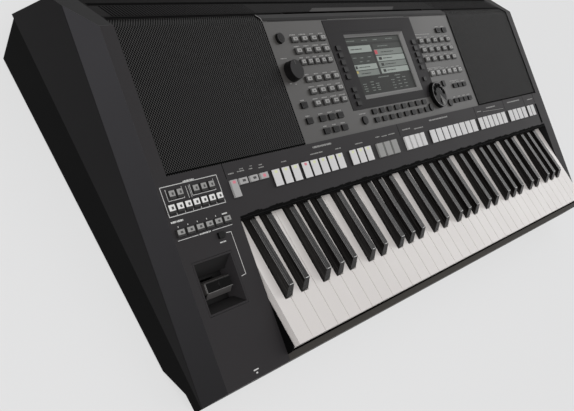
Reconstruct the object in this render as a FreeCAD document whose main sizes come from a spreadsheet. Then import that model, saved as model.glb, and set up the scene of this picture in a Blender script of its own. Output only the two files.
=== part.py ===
"""Arranger keyboard: a 61-key instrument with speakers, a display and panel controls.

Frame: origin under the middle of the case on the floor, +X to the right along the keys,
+Y to the back, +Z up. Lengths are in millimetres and angles in degrees.
"""
import FreeCAD, Part
import os
import re

import Sketcher

DIMENSIONS = {
    # Case
    "case_depth": 442, "case_wall": 3, "foot_height": 4, "foot_radius": 11, "foot_inset": 60,
    "left_cheek": 111.2, "right_cheek": 42.2, "key_setback": 9, "well_gap": 1.5,
    "cheek_height": 68.4, "strip_angle": 12.82, "crease_share": 0.454751, "ridge_share": 0.798643,
    "rear_angle": 27.25, "back_lean": 22, "bevel_width": 11, "bevel_drop": 29.3,
    "seam_front": 36, "seam_back": 60, "chin_height": 22.5, "chin_run": 20, "belly_run": 52,
    "lower_inset": 12, "lower_back_inset": 5, "lower_back_lean": 11, "well_share": 0.341629,
    "fit_gap": 0.3, "run_gap": 0.05, "slip_thickness": 7,
    # Keys
    "octave_span": 165, "key_top": 87.5, "key_height": 20, "key_gap": 1, "key_share": 0.4819005,
    "key_skin": 2.5, "key_wall": 2, "sharp_width": 11, "sharp_gap": 1.2, "sharp_front": 49.2,
    "sharp_height": 11.4, "sharp_slope": 9, "sharp_droop": 3, "sharp_taper": 1.1,
    "pivot_inset": 8, "pivot_drop": 13.5, "pivot_radius": 2, "notch_gap": 0.2,
    "actuator_run": 106, "actuator_length": 18, "tail_block": 19,
    # Key bed
    "chassis_top": 50, "chassis_sheet": 2, "chassis_front": 10, "chassis_tail": 9, "fin_sheet": 2,
    "felt_run": 14, "felt_length": 16, "felt_height": 7.6, "board_sheet": 1.6,
    "contact_run": 94, "contact_length": 44, "dome_height": 9.6, "dome_base": 3, "dome_size": 8,
    "spring_sheet": 0.5, "spring_gap": 0.95, "spring_reach": 10, "spring_finger": 7,
    "post_side": 12, "post_margin": 60,
    # Panels
    "panel_drop": 2.3, "panel_sheet": 3, "panel_share": 0.4740654, "panel_flange": 2.5, "flange_depth": 10,
    "panel_corner": 8, "ledge": 6, "rim_width": 29.4, "grille_angle": 10.29, "grille_step": 1.8,
    "grille_share": 0.376697, "grille_sheet": 3, "driver_gap": 3, "woofer_share": 0.348348,
    "driver_share": 0.2481, "woofer_depth": 50,
    "tweeter_inset": 39.6, "tweeter_radius": 19, "tweeter_depth": 24, "speaker_lip": 7, "magnet_radius": 36,
    # Display
    "bezel_share": 0.482105, "bezel_start": 0.532805, "bezel_end": 0.813348, "window_share": 0.338526,
    "window_start": 0.557692, "window_end": 0.774434, "window_border": 7, "window_depth": 3,
    "glass_depth": 1.4, "display_depth": 9,
    # Controls
    "button_rise": 2.2, "button_travel": 1, "panel_board_drop": 14, "strip_board_drop": 6.6,
    "knob_radius": 13, "knob_height": 9.5, "dial_radius": 20, "dial_height": 5.5, "shaft_radius": 3,
    "dimple_radius": 5, "round_radius": 5.6, "standby_radius": 6.5, "standby_rise": 3.5, "control_body": 16,
    "stick_x": 51.5, "stick_share": 0.20543, "recess_x": 58, "recess_v": 54.5, "recess_depth": 26,
    "recess_draft": 6, "recess_wall": 2, "stick_axis": 33.5, "stick_half": 18.5, "stick_thick": 12,
    "stick_top": 3, "stick_plate": 7, "stem_side": 9, "gimbal_x": 15, "gimbal_v": 13, "gimbal_height": 6,
    "gimbal_wall": 3, "pin_radius": 1.5, "lug_sheet": 2, "lug_gap": 0.5, "tilt_room": 14,
    # Boards and sockets
    "board_height": 20, "board_inset": 181, "board_depth": 130, "main_half": 190, "board_gap": 35,
    "amp_width": 170,
    "niche_left": -260, "niche_right": 60, "niche_low": 66, "niche_high": 104, "niche_depth": 30,
    "niche_wall": 2, "plug_radius": 3.25, "plug_depth": 20, "jack_radius": 6, "jack_side": 14,
    "jack_nose": 3, "phones_x": 57.5, "phones_z": 51, "screw_radius": 1.7, "screw_head": 3.6,
    "screw_sink": 1.6, "slot_half": 180, "slot_width": 9, "slot_run": 7,
}

DERIVED = {
    "natural": "octave_span / 7",
    "key_run": "36 * octave_span / 7",
    "half_width": "(left_cheek + key_run + right_cheek) / 2",
    "panel_half": "(panel_share * half_width)",
    "crease_run": "(crease_share * case_depth)",
    "ridge_run": "(ridge_share * case_depth)",
    "well_depth": "(well_share * case_depth)",
    "key_length": "(key_share * case_depth)",
    "pivot_run": "(key_length - pivot_inset)",
    "chassis_back": "(key_length + chassis_tail)",
    "grille_length": "(grille_share * case_depth)",
    "keys_x": "(left_cheek - half_width)",
    "keys_end": "(half_width - right_cheek)",
    "front": "(0 - case_depth / 2)",
    "back": "(case_depth / 2)",
    "keys_y": "(front + key_setback)",
    "crease_y": "(keys_y + crease_run)",
    "ridge_y": "(keys_y + ridge_run)",
    "ridge_z": "(cheek_height + ridge_run * tan(strip_angle))",
    "back_top_y": "(back - back_lean)",
    "back_top_z": "(ridge_z - (back_top_y - ridge_y) * tan(rear_angle))",
    "lower_back": "(back - lower_back_inset)",
    "seam_angle": "atan((seam_back - seam_front) / (lower_back - front))",
    "upper_seam_back": "(seam_front + case_depth * tan(seam_angle))",
    "grille_z": "(cheek_height + crease_run * tan(strip_angle) - grille_step)",
    "grille_in": "(panel_half + fit_gap)",
    "grille_out": "(half_width - rim_width)",
    "tweeter_x": "(grille_out - tweeter_inset)",
    "woofer_radius": "min(woofer_share * grille_length; driver_share * (grille_out - grille_in))",
    "woofer_x": "(tweeter_x - tweeter_radius - woofer_radius - 2 * speaker_lip - driver_gap)",
    "panel_low": "(crease_run / cos(strip_angle) + fit_gap)",
    "panel_high": "(ridge_run / cos(strip_angle) - fit_gap)",
    "panel_top": "(0 - panel_drop)",
    "panel_under": "(0 - panel_drop - panel_sheet)",
    "bezel_half": "(bezel_share * panel_half)",
    "bezel_low": "(bezel_start * case_depth)",
    "bezel_high": "(bezel_end * case_depth)",
    "window_half": "(window_share * panel_half)",
    "window_low": "(window_start * case_depth)",
    "window_high": "(window_end * case_depth)",
    "pivot_y": "(keys_y + pivot_run)",
    "pivot_z": "(key_top - pivot_drop)",
    "floor_z": "(foot_height + case_wall)",
    "stick_at": "(stick_x - half_width)",
    "stick_v": "(stick_share * case_depth)",
    "board_y": "(back - board_inset)",
    "amp_x": "(main_half + board_gap)",
    "lip_run": "(well_depth - key_setback)",
    "lip_room": "(cheek_height + lip_run * tan(strip_angle) - case_wall / cos(strip_angle) - key_top)",
    "niche_y": "(back - niche_depth)",
}

STRIP = "placement(vector(0; keys_y; cheek_height); rotation(vector(1; 0; 0); strip_angle))"
GRILLE = "placement(vector(0; crease_y; grille_z); rotation(vector(1; 0; 0); grille_angle))"
SEAM = "placement(vector(0; front; seam_front); rotation(vector(1; 0; 0); seam_angle))"
BED = "placement(vector(keys_x; keys_y; key_top); rotation(vector(1; 0; 0); 0))"

AXIS = {"X": FreeCAD.Vector(1, 0, 0), "Y": FreeCAD.Vector(0, 1, 0), "Z": FreeCAD.Vector(0, 0, 1)}
TURN = {"X": "rotation(vector(0; 1; 0); 90)", "Y": "rotation(vector(1; 0; 0); -90)",
        "Z": "rotation(vector(1; 0; 0); 0)"}
SKETCH_TURN = {"X": "rotation(vector(1; 1; 1); 120)", "Y": "rotation(vector(1; 0; 0); 90)",
               "Z": "rotation(vector(1; 0; 0); 0)"}

doc = FreeCAD.newDocument("ArrangerKeyboard")
sheet = doc.addObject("Spreadsheet::Sheet", "dims")
for row, (alias, value) in enumerate(DIMENSIONS.items(), start=1):
    sheet.set("A%d" % row, alias)
    sheet.set("B%d" % row, str(value))
    sheet.setAlias("B%d" % row, alias)
doc.recompute()

nodes = []


def expand(text):
    """Write a derived size out in full, down to the sheet's own cells."""
    def word(match):
        name = match.group(0)
        if name in DERIVED:
            return "(" + expand(DERIVED[name]) + ")"
        return "dims." + name if name in DIMENSIONS else name
    return re.sub(r"[a-z_]+", word, text)


def measure(text):
    """Work a size out as a number."""
    return float(sheet.evalExpression(expand(text)))


def bind(thing, **sizes):
    """Tie properties of an object to sizes."""
    for name, text in sizes.items():
        thing.setExpression(name, expand(text))
    return thing


def add(kind, name):
    """Add an object under a name of its own."""
    return doc.addObject(kind, name)


def lay(piece, frame):
    """Put a piece that is drawn flat into a sloping frame."""
    return bind(piece, Placement=frame)


def box(name, low, size):
    """Block from its low corner and its three sizes."""
    return bind(add("Part::Box", name), Length=size[0], Width=size[1], Height=size[2],
                Placement="placement(vector(%s; %s; %s); %s)" % (*low, TURN["Z"]))


def rod(name, base, radius, length, axis="Z"):
    """Cylinder that starts at a point and runs along an axis."""
    return bind(add("Part::Cylinder", name), Radius=radius, Height=length,
                Placement="placement(vector(%s; %s; %s); %s)" % (*base, TURN[axis]))


def cone(name, base, low, high, length):
    """Upright cone frustum with its low and high radius."""
    return bind(add("Part::Cone", name), Radius1=low, Radius2=high, Height=length,
                Placement="placement(vector(%s; %s; %s); %s)" % (*base, TURN["Z"]))


def draw(sketch, points):
    """Draw one closed outline in a sketch, with each corner tied to its two sizes."""
    first = sketch.GeometryCount
    count = len(points)
    spots = [FreeCAD.Vector(measure(across), measure(up), 0) for across, up in points]
    for index in range(count):
        sketch.addGeometry(Part.LineSegment(spots[index], spots[(index + 1) % count]))
    for index, (across, up) in enumerate(points):
        edge = first + index
        sketch.addConstraint(Sketcher.Constraint("Coincident", edge, 2, first + (index + 1) % count, 1))
        for kind, text, value in (("DistanceX", across, spots[index].x), ("DistanceY", up, spots[index].y)):
            at = sketch.addConstraint(Sketcher.Constraint(kind, -1, 1, edge, 1, value))
            sketch.setExpression("Constraints[%d]" % at, expand(text))


def prism(name, axis, points, start, length):
    """Outline drawn across an axis and extruded along it from a starting place."""
    sketch = add("Sketcher::SketchObject", name + "_outline")
    draw(sketch, points)
    base = ["0", "0", "0"]
    base["XYZ".index(axis)] = start
    bind(sketch, Placement="placement(vector(%s; %s; %s); %s)" % (*base, SKETCH_TURN[axis]))
    solid = add("Part::Extrusion", name)
    solid.Base = sketch
    solid.DirMode = "Custom"
    solid.Dir = AXIS[axis]
    solid.Solid = True
    return bind(solid, LengthFwd=length)


def group(name, pieces):
    """Separate solids kept together."""
    made = add("Part::Compound", name)
    made.Links = pieces
    return made


def fuse(name, pieces):
    """Solids joined into one."""
    made = add("Part::MultiFuse", name)
    made.Shapes = pieces
    return made


def cut(name, base, tools):
    """Solid with the tools taken out of it."""
    made = add("Part::Cut", name)
    made.Base = base
    made.Tool = tools[0] if len(tools) == 1 else group(name + "_tools", tools)
    return made


def common(name, pieces):
    """What the solids share."""
    made = add("Part::MultiCommon", name)
    made.Shapes = pieces
    return made


def node(piece, label):
    """Name a finished sub-part."""
    piece.Label = label
    nodes.append(piece)
    return piece


def frustum(name, middle, half_x, half_v, top, bottom, draft):
    """Upright pocket whose four walls lean in by the draft from top to bottom."""
    wedge = add("Part::Wedge", name)
    x, v = middle
    return bind(wedge, Xmin="%s - %s + %s" % (x, half_x, draft), Xmax="%s + %s - %s" % (x, half_x, draft),
                Zmin="0 - (%s) - %s + %s" % (v, half_v, draft), Zmax="0 - (%s) + %s - %s" % (v, half_v, draft),
                Ymin=bottom, Ymax=top, X2min="%s - %s" % (x, half_x), X2max="%s + %s" % (x, half_x),
                Z2min="0 - (%s) - %s" % (v, half_v), Z2max="0 - (%s) + %s" % (v, half_v),
                Placement="placement(vector(0; 0; 0); rotation(vector(1; 0; 0); 90))")


# Lower case: an open tray whose sides lean in towards the floor

def leaning_cuts(name, insets, drop, frame, inward):
    """Wedges outside the two leaning side walls, long enough for the whole case."""
    edge = "half_width - (%s) - (%s)"
    top = edge % (inward, insets[0])
    bottom = edge % (inward, insets[1])
    far = "half_width + 40"
    right = [(top, "0"), (bottom, "0 - " + drop), (far, "0 - " + drop), (far, "40"), (top, "40")]
    left = [("0 - (%s)" % across, up) for across, up in right]
    wedges = [prism("%s_%d" % (name, i), "Y", points, "0 - 60", "case_depth + 140")
              for i, points in enumerate((left, right))]
    return lay(group(name, wedges), frame)


def case_block(name, points, inward):
    """Case profile extruded over the width, less a wall at each end."""
    return prism(name, "X", points, "%s - half_width" % inward, "2 * (half_width - %s)" % inward)


lower_points = [("front", "seam_front"), ("front", "chin_height"), ("front + chin_run", "chin_height"),
                ("front + belly_run", "foot_height"), ("lower_back - lower_back_lean", "foot_height"),
                ("lower_back", "seam_back")]
tray_points = [("front + case_wall", "seam_front + 20"), ("front + case_wall", "chin_height + case_wall"),
               ("front + chin_run + 1", "chin_height + case_wall"), ("front + belly_run + 2", "floor_z"),
               ("lower_back - lower_back_lean - case_wall", "floor_z"),
               ("lower_back - case_wall", "seam_back"), ("lower_back - case_wall", "seam_back + 20")]
lower_block = case_block("lower_block", lower_points, "0")
tray_block = case_block("tray_block", tray_points, "case_wall")
lower_leans = leaning_cuts("lower_leans", ("0", "lower_inset"), "60", SEAM, "0")
tray_leans = leaning_cuts("tray_leans", ("0", "lower_inset"), "60", SEAM, "case_wall")
tray_hollow = cut("tray_hollow", tray_block, [tray_leans])
lower_shell = cut("lower_shell", cut("lower_leaned", lower_block, [lower_leans]), [tray_hollow])

post_x = ["keys_x + post_margin", "keys_x + key_run / 2", "keys_end - post_margin"]
post_y = ["front + belly_run + post_side", "keys_y + chassis_back - 30"]
posts = []
post_holes = []
screws = []
for column, x in enumerate(post_x):
    for line, y in enumerate(post_y):
        tag = "%d_%d" % (column, line)
        posts.append(box("chassis_post_" + tag, (x + " - post_side / 2", y + " - post_side / 2", "floor_z - 1"),
                         ("post_side", "post_side", "chassis_top - chassis_sheet - floor_z + 1")))
        post_holes.append(rod("screw_hole_" + tag, (x, y, "0"), "screw_radius + fit_gap", "chassis_top - 5"))
        post_holes.append(rod("screw_sink_" + tag, (x, y, "0"), "screw_head + fit_gap",
                              "foot_height + screw_sink"))
        shank = rod("screw_shank_" + tag, (x, y, "foot_height + screw_sink"), "screw_radius",
                    "chassis_top - 6 - foot_height - screw_sink")
        head = rod("screw_head_" + tag, (x, y, "foot_height + fit_gap"), "screw_head", "screw_sink - fit_gap")
        screws.append(fuse("screw_" + tag, [shank, head]))
board_posts = [("0 - main_half + 12", "main_half - 12"), ("amp_x + 12", "amp_x + amp_width - 12")]
for pair, ends in enumerate(board_posts):
    for end, x in enumerate(ends):
        for line, y in enumerate(("board_y + 12", "board_y + board_depth - 12")):
            posts.append(box("board_post_%d_%d_%d" % (pair, end, line), (x + " - 5", y + " - 5", "floor_z - 1"),
                             ("10", "10", "board_height - floor_z + 1")))
lower_solid = fuse("lower_solid", [lower_shell] + posts)
node(cut("lower_case", lower_solid, post_holes), "lower_case")
node(group("case_screws", screws), "case_screws")

feet_at = [("%s(half_width - foot_inset)" % sign, y) for sign in ("0 - ", "")
           for y in ("front + belly_run + 20", "lower_back - lower_back_lean - 25")]
feet_at.append(("0", "front + belly_run + 20"))
feet = [rod("foot_%d" % i, (x, y, "0"), "foot_radius", "foot_height") for i, (x, y) in enumerate(feet_at)]
node(group("rubber_feet", feet), "rubber_feet")

# Upper case: cheeks, strip and rims in one plane, with sunk grille beds and a well for the keys

upper_points = [("front", "seam_front"), ("front", "cheek_height - key_setback * tan(strip_angle)"),
                ("ridge_y", "ridge_z"), ("back_top_y", "back_top_z"), ("back", "upper_seam_back")]
under_strip = "case_wall / cos(strip_angle)"
under_grille = "(grille_sheet + case_wall) / cos(grille_angle)"
hollow_points = [
    ("front + case_wall", "seam_front - 30"),
    ("front + case_wall", "cheek_height - (key_setback - case_wall) * tan(strip_angle) - " + under_strip),
    ("crease_y - case_wall", "cheek_height + (crease_run - case_wall) * tan(strip_angle) - " + under_strip),
    ("crease_y - case_wall", "grille_z - case_wall * tan(grille_angle) - " + under_grille),
    ("crease_y + grille_length - 6", "grille_z + (grille_length - 6) * tan(grille_angle) - " + under_grille),
    ("back_top_y - case_wall", "back_top_z - case_wall"),
    ("back - case_wall", "upper_seam_back"), ("back - case_wall", "seam_front - 30")]
upper_block = case_block("upper_block", upper_points, "0")
hollow_block = case_block("hollow_block", hollow_points, "case_wall")
bevels = leaning_cuts("bevels", ("bevel_width", "0"), "bevel_drop", STRIP, "0")
inner_bevels = leaning_cuts("inner_bevels", ("bevel_width", "0"), "bevel_drop", STRIP, "case_wall")
upper_outer = cut("upper_outer", upper_block, [bevels])
upper_hollow = cut("upper_hollow", hollow_block, [inner_bevels])
upper_shell = cut("upper_shell", upper_outer, [upper_hollow])
well_left = "(keys_x - well_gap)"
well_right = "(keys_end + well_gap)"
cheek_slabs = [box("cheek_slab_%d" % i, (x, "front", "seam_front"), ("case_wall", "well_depth", "160"))
               for i, x in enumerate((well_left + " - case_wall", well_right))]
cheek_walls = common("cheek_walls", [upper_outer, group("cheek_slabs", cheek_slabs)])
upper_walled = fuse("upper_walled", [upper_shell, cheek_walls])

key_well = box("key_well", (well_left, "front - 5", "0"), ("key_run + 2 * well_gap", "well_depth + 5", "200"))
grille_beds = []
speaker_holes = []
for i, sign in enumerate(("0 - ", "")):
    low = "0 - grille_out" if i == 0 else "grille_in"
    grille_beds.append(box("grille_bed_%d" % i, (low, "0", "0 - grille_sheet"),
                           ("grille_out - grille_in", "grille_length", "grille_sheet + 40")))
    speaker_holes.append(rod("woofer_hole_%d" % i, (sign + "woofer_x", "grille_length / 2", "0 - 20"),
                             "woofer_radius", "25"))
    speaker_holes.append(rod("tweeter_hole_%d" % i, (sign + "tweeter_x", "grille_length / 2", "0 - 20"),
                             "tweeter_radius", "25"))
grille_tools = lay(group("grille_tools", grille_beds + speaker_holes), GRILLE)
panel_bed = box("panel_bed", ("0 - panel_half - fit_gap", "panel_low - fit_gap", "panel_under"),
                ("2 * (panel_half + fit_gap)", "panel_high - panel_low + 2 * fit_gap + 4", "40"))
panel_hole = box("panel_hole", ("0 - panel_half - fit_gap", "panel_low + ledge", "0 - 40"),
                 ("2 * (panel_half + fit_gap)", "panel_high - panel_low - 2 * ledge", "60"))
stick_hole = box("stick_hole",
                 ("stick_at - recess_x / 2 - fit_gap", "stick_v - recess_v / 2 - fit_gap", "0 - 20"),
                 ("recess_x + 2 * fit_gap", "recess_v + 2 * fit_gap", "40"))

# Rows of buttons on the sloping plane: the first one's place, pitch, count, width and depth
# Places across and pitches are in thousandths of a width, places up the slope in thousandths of the depth

ACROSS = {"strip": ("keys_x", "key_run"), "cheek": ("0 - half_width", "left_cheek"),
          "panel": ("0", "panel_half")}


def across(base, share):
    """Place across the case from thousandths of one of the widths."""
    start, width = ACROSS[base]
    return "(%s %s %.6f * %s)" % (start, "-" if share < 0 else "+", abs(share) / 1000, width)


def up(share):
    """Place up the slope from thousandths of the depth."""
    return "(%.6f * case_depth)" % (share / 1000)


def row_lows(base, rows):
    """Tag, low corner and size of each button in some rows."""
    for line, (first, share, pitch, count, width, depth) in enumerate(rows):
        for index in range(count):
            middle = across(base, first + pitch * index)
            low = ("%s - %s / 2" % (middle, width), "%s - %s / 2" % (up(share), depth))
            yield "%d_%d" % (line, index), low, width, depth


def caps_of(name, base, rows, surface, board):
    """Blocks of one button group, from above its board to a little over the surface."""
    bottom = "(0 - %s + button_travel + fit_gap)" % board
    height = "%s + button_rise - %s" % (surface, bottom)
    return [box("%s_%s" % (name, tag), (*low, bottom), (str(width), str(depth), height))
            for tag, low, width, depth in row_lows(base, rows)]


def holes_of(name, base, rows):
    """Holes that the buttons of a group run in."""
    return [box("%s_hole_%s" % (name, tag), (low[0] + " - fit_gap", low[1] + " - fit_gap", "0 - 9"),
                ("%s + 2 * fit_gap" % width, "%s + 2 * fit_gap" % depth, "20"))
            for tag, low, width, depth in row_lows(base, rows)]


STRIP_ROWS = {
    "style_switch_buttons": [(7.41, 400.9, 0, 1, 10.5, 18.8),
                             (25.44, 414.03, 20.918, 3, 13, 6.8)],
    "section_buttons": [(91.67, 400.45, 21.33, 3, 13.3, 18.8),
                        (157.78, 400.45, 20.976, 5, 13.6, 18.8),
                        (277.27, 400.45, 20.976, 3, 14, 18.8)],
    "start_pad_buttons": [(353.87, 400.45, 21.801, 3, 14, 18.8),
                          (437.78, 400.45, 17.559, 4, 10.8, 18.8)],
    "registration_buttons": [(526.16, 400.45, 22.426, 8, 15.6, 18.8)],
    "part_buttons": [(715.54, 400.45, 20.623, 6, 14.2, 18.8),
                     (853.65, 400.45, 22.155, 4, 15.4, 18.8),
                     (947.22, 400.45, 18.62, 2, 12.6, 18.8)],
}
CHEEK_ROWS = [(241.01, 423.53, 100.719, 2, 8.6, 8.6),
              (546.76, 423.53, 105.216, 3, 8.6, 8.6),
              (186.15, 392.76, 104.047, 7, 9.4, 9),
              (195.14, 337.56, 122.122, 6, 10.6, 7.4),
              (665.47, 306.79, 0, 1, 9, 6)]
PANEL_ROWS = {
    "style_buttons": [(-787.37, 760.63, 84.21, 4, 13.4, 7.4),
                      (-787.37, 726.24, 84.21, 4, 13.4, 7.4),
                      (-781.47, 692.99, 60.63, 5, 10.6, 7.4)],
    "setup_buttons": [(-784.84, 642.99, 82.53, 4, 13.4, 7.4),
                      (-784.84, 607.24, 82.53, 4, 13.4, 7.4),
                      (-786.53, 571.95, 83.37, 4, 13.4, 7.4)],
    "tempo_buttons": [(-901.89, 572.85, 0, 1, 11.6, 7.4),
                      (-901.89, 527.83, 0, 1, 11.6, 7.4),
                      (-786.53, 527.83, 82.11, 3, 12, 7.4),
                      (-786.53, 490.95, 82.53, 3, 12, 7.4)],
    "soft_buttons": [(side, share, 0, 1, 9.4, 6.6) for side in (-421.05, 421.05)
                     for share in (724.89, 702.49, 680.09, 657.69, 635.29)]
                    + [(-408.42, share, 0, 1, 9.4, 6) for share in (594.34, 572.85, 551.36)]
                    + [(400, 594.34, 0, 1, 8, 6)],
    "tab_buttons": [(-286.74, 519, 82.74, 8, 10, 6.8),
                    (-286.74, 492.76, 82.74, 8, 10, 6.8)],
    "voice_buttons": [(800, 760.18, 85.47, 2, 13, 7.4),
                      (522.11, 725.11, 92.21, 5, 13.6, 7.4),
                      (522.11, 692.31, 92.21, 5, 13.6, 7.4),
                      (522.11, 659.05, 92.21, 5, 13.6, 7.4)],
    "effect_buttons": [(522.53, 608.6, 76.21, 6, 12.8, 8),
                       (762.11, 554.75, 66.53, 3, 11, 6.4),
                       (704.84, 502.26, 67.37, 4, 11, 6.4),
                       (618.95, 568.33, 0, 1, 7.6, 9)],
}
ROUND_AT = [(across("panel", x), up(share))
            for x, share in ((-409.26, 498.64), (358.32, 497.29), (618.11, 498.64))]
STANDBY_AT = (across("panel", -908.63), up(766.06))
KNOB_AT = (across("panel", -907.37), up(669.68))
DIAL_AT = (across("panel", 480.84), up(532.58))
PANEL_FLOOR = "(0 - panel_board_drop + button_travel + fit_gap)"
strip_holes = []
panel_holes = []
for label, rows in STRIP_ROWS.items():
    node(lay(group(label, caps_of(label, "strip", rows, "0", "strip_board_drop")), STRIP), label)
    strip_holes += holes_of(label, "strip", rows)
cheek_caps = caps_of("cheek_buttons", "cheek", CHEEK_ROWS, "0", "strip_board_drop")
node(lay(group("cheek_buttons", cheek_caps), STRIP), "cheek_buttons")
strip_holes += holes_of("cheek_buttons", "cheek", CHEEK_ROWS)
for label, rows in PANEL_ROWS.items():
    caps = caps_of(label, "panel", rows, "panel_top", "panel_board_drop")
    panel_holes += holes_of(label, "panel", rows)
    if label == "tab_buttons":
        for i, at in enumerate(ROUND_AT):
            caps.append(rod("round_button_%d" % i, (*at, PANEL_FLOOR), "round_radius",
                            "panel_top + button_rise - " + PANEL_FLOOR))
            panel_holes.append(rod("round_hole_%d" % i, (*at, "0 - 9"), "round_radius + fit_gap", "20"))
    node(lay(group(label, caps), STRIP), label)
standby = rod("standby_cap", (*STANDBY_AT, PANEL_FLOOR), "standby_radius",
              "panel_top + standby_rise - " + PANEL_FLOOR)
panel_holes.append(rod("standby_hole", (*STANDBY_AT, "0 - 9"), "standby_radius + fit_gap", "20"))
node(lay(group("standby_button", [standby]), STRIP), "standby_button")

# Niche for the sockets, slot for a music rest and the finished upper case
# The rear cover between its ends is a sloping lid over two back plates, with a sill between them under the niche

hole_left = "(niche_left - niche_wall - fit_gap)"
hole_right = "(niche_right + niche_wall + fit_gap)"
hole_low = "(niche_low - niche_wall - fit_gap)"
hole_high = "(niche_high + niche_wall + fit_gap)"
niche_hole = box("niche_hole", (hole_left, "niche_y - niche_wall - fit_gap", hole_low),
                 (hole_right + " - " + hole_left, "niche_depth + 30", hole_high + " - " + hole_low))
rest_slot = box("rest_slot", ("0 - slot_half", "ridge_y + slot_run", "ridge_z - 40"),
                ("2 * slot_half", "slot_width", "60"))
phones_hole = rod("phones_hole", ("phones_x - half_width", "front - 5", "phones_z"), "jack_radius + fit_gap",
                  "case_wall + 10", "Y")
rear_zone = box("rear_zone", ("0 - grille_out", "ridge_y", "0"), ("2 * grille_out", "case_depth", "300"))
strip_tools = lay(group("strip_tools", strip_holes + [panel_bed, panel_hole, stick_hole]), STRIP)
upper_cut = cut("upper_cut", upper_walled, [key_well])
upper_bedded = cut("upper_bedded", upper_cut, [grille_tools])
upper_drilled = cut("upper_drilled", upper_bedded, [strip_tools])
node(cut("upper_case", upper_drilled, [rear_zone, phones_hole]), "upper_case")
rear_shell = common("rear_shell", [upper_drilled, rear_zone])
rear_open = cut("rear_open", rear_shell, [niche_hole, rest_slot])
lid_zone = box("lid_zone", ("0 - grille_out", "ridge_y", hole_high), ("2 * grille_out", "case_depth", "300"))
rear_parts = [common("rear_lid", [rear_open, lid_zone])]
for label, low, high in (("left_plate", "(0 - grille_out)", hole_left), ("sill", hole_left, hole_right),
                         ("right_plate", hole_right, "grille_out")):
    zone = box(label + "_zone", (low, "ridge_y", "0"), (high + " - " + low, "case_depth", hole_high))
    rear_parts.append(common("rear_" + label, [rear_open, zone]))
node(group("rear_cover", rear_parts), "rear_cover")

# Front rail in front of the keys

slip_points = [("front", "seam_front"),
               ("front + slip_thickness", "seam_front + slip_thickness * tan(seam_angle)"),
               ("front + slip_thickness", "cheek_height - (key_setback - slip_thickness) * tan(strip_angle)"),
               ("front", "cheek_height - key_setback * tan(strip_angle)")]
node(prism("key_slip", "X", slip_points, well_left + " + fit_gap", "key_run + 2 * (well_gap - fit_gap)"),
     "key_slip")

# Speaker grilles and drivers, in the sunk grille plane

for label, low in (("left_grille", "0 - grille_out + fit_gap"), ("right_grille", "grille_in + fit_gap")):
    plate = box(label + "_plate", (low, "fit_gap", "0 - grille_sheet"),
                ("grille_out - grille_in - 2 * fit_gap", "grille_length - 2 * fit_gap", "grille_sheet"))
    node(lay(group(label, [plate]), GRILLE), label)


def driver(name, x, radius, depth, magnet):
    """Loudspeaker: a flange under the baffle, a dished basket and a magnet."""
    seat = "(0 - grille_sheet - case_wall - 0.1)"
    middle = (x, "grille_length / 2")
    flange = rod(name + "_flange", (*middle, seat + " - 3"), radius + " + speaker_lip", "3")
    basket = cone(name + "_basket", (*middle, "%s - %s" % (seat, depth)), magnet, radius, depth)
    motor = rod(name + "_motor", (*middle, "%s - %s - 12" % (seat, depth)), magnet, "12")
    dish = cone(name + "_dish", (*middle, "%s - %s / 2" % (seat, depth)), magnet + " / 2", radius + " - 4",
                "%s / 2" % depth)
    return cut(name, fuse(name + "_solid", [flange, basket, motor]), [dish])


woofers = [driver("woofer_%d" % i, sign + "woofer_x", "woofer_radius", "woofer_depth", "magnet_radius")
           for i, sign in enumerate(("0 - ", ""))]
tweeters = [driver("tweeter_%d" % i, sign + "tweeter_x", "tweeter_radius", "tweeter_depth",
                   "(tweeter_radius - 4)") for i, sign in enumerate(("0 - ", ""))]
node(lay(group("loudspeakers", woofers + tweeters), GRILLE), "loudspeakers")

# Control panel, display and boards, in the sloping plane

panel_outline = [("0 - panel_half", "panel_low"), ("panel_half", "panel_low"),
                 ("panel_half", "panel_high - panel_corner"), ("panel_half - panel_corner", "panel_high"),
                 ("panel_corner - panel_half", "panel_high"), ("0 - panel_half", "panel_high - panel_corner")]
panel_plate = prism("panel_plate", "Z", panel_outline, "panel_under", "panel_sheet")
flanges = [box("panel_flange_%d" % i, (x, "panel_low + ledge + fit_gap", "panel_under - flange_depth"),
               ("panel_flange", "panel_high - panel_low - 2 * ledge - panel_corner", "flange_depth + 0.5"))
           for i, x in enumerate(("0 - panel_half", "panel_half - panel_flange"))]
bezel_hole = box("bezel_hole", ("0 - bezel_half - fit_gap", "bezel_low - fit_gap", "0 - 30"),
                 ("2 * (bezel_half + fit_gap)", "bezel_high - bezel_low + 2 * fit_gap", "60"))
shaft_holes = [rod("shaft_hole_%d" % i, (*at, "0 - 30"), "shaft_radius + fit_gap", "60")
               for i, at in enumerate((KNOB_AT, DIAL_AT))]
panel_solid = fuse("panel_solid", [panel_plate] + flanges)
panel_done = cut("panel_done", panel_solid, panel_holes + [bezel_hole] + shaft_holes)
node(lay(group("centre_panel", [panel_done]), STRIP), "centre_panel")

bezel_plate = box("bezel_plate", ("0 - bezel_half", "bezel_low", "panel_under"),
                  ("2 * bezel_half", "bezel_high - bezel_low", "panel_sheet + 0.5"))
window_hole = box("window_hole", ("0 - window_half", "window_low", "0 - 30"),
                  ("2 * window_half", "window_high - window_low", "60"))
soft_holes = holes_of("bezel", "panel", PANEL_ROWS["soft_buttons"])
dial_gap = rod("dial_gap", (*DIAL_AT, "0 - 30"), "dial_radius + 1", "60")
node(lay(group("screen_bezel", [cut("bezel_done", bezel_plate, soft_holes + [window_hole, dial_gap])]), STRIP),
     "screen_bezel")

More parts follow.
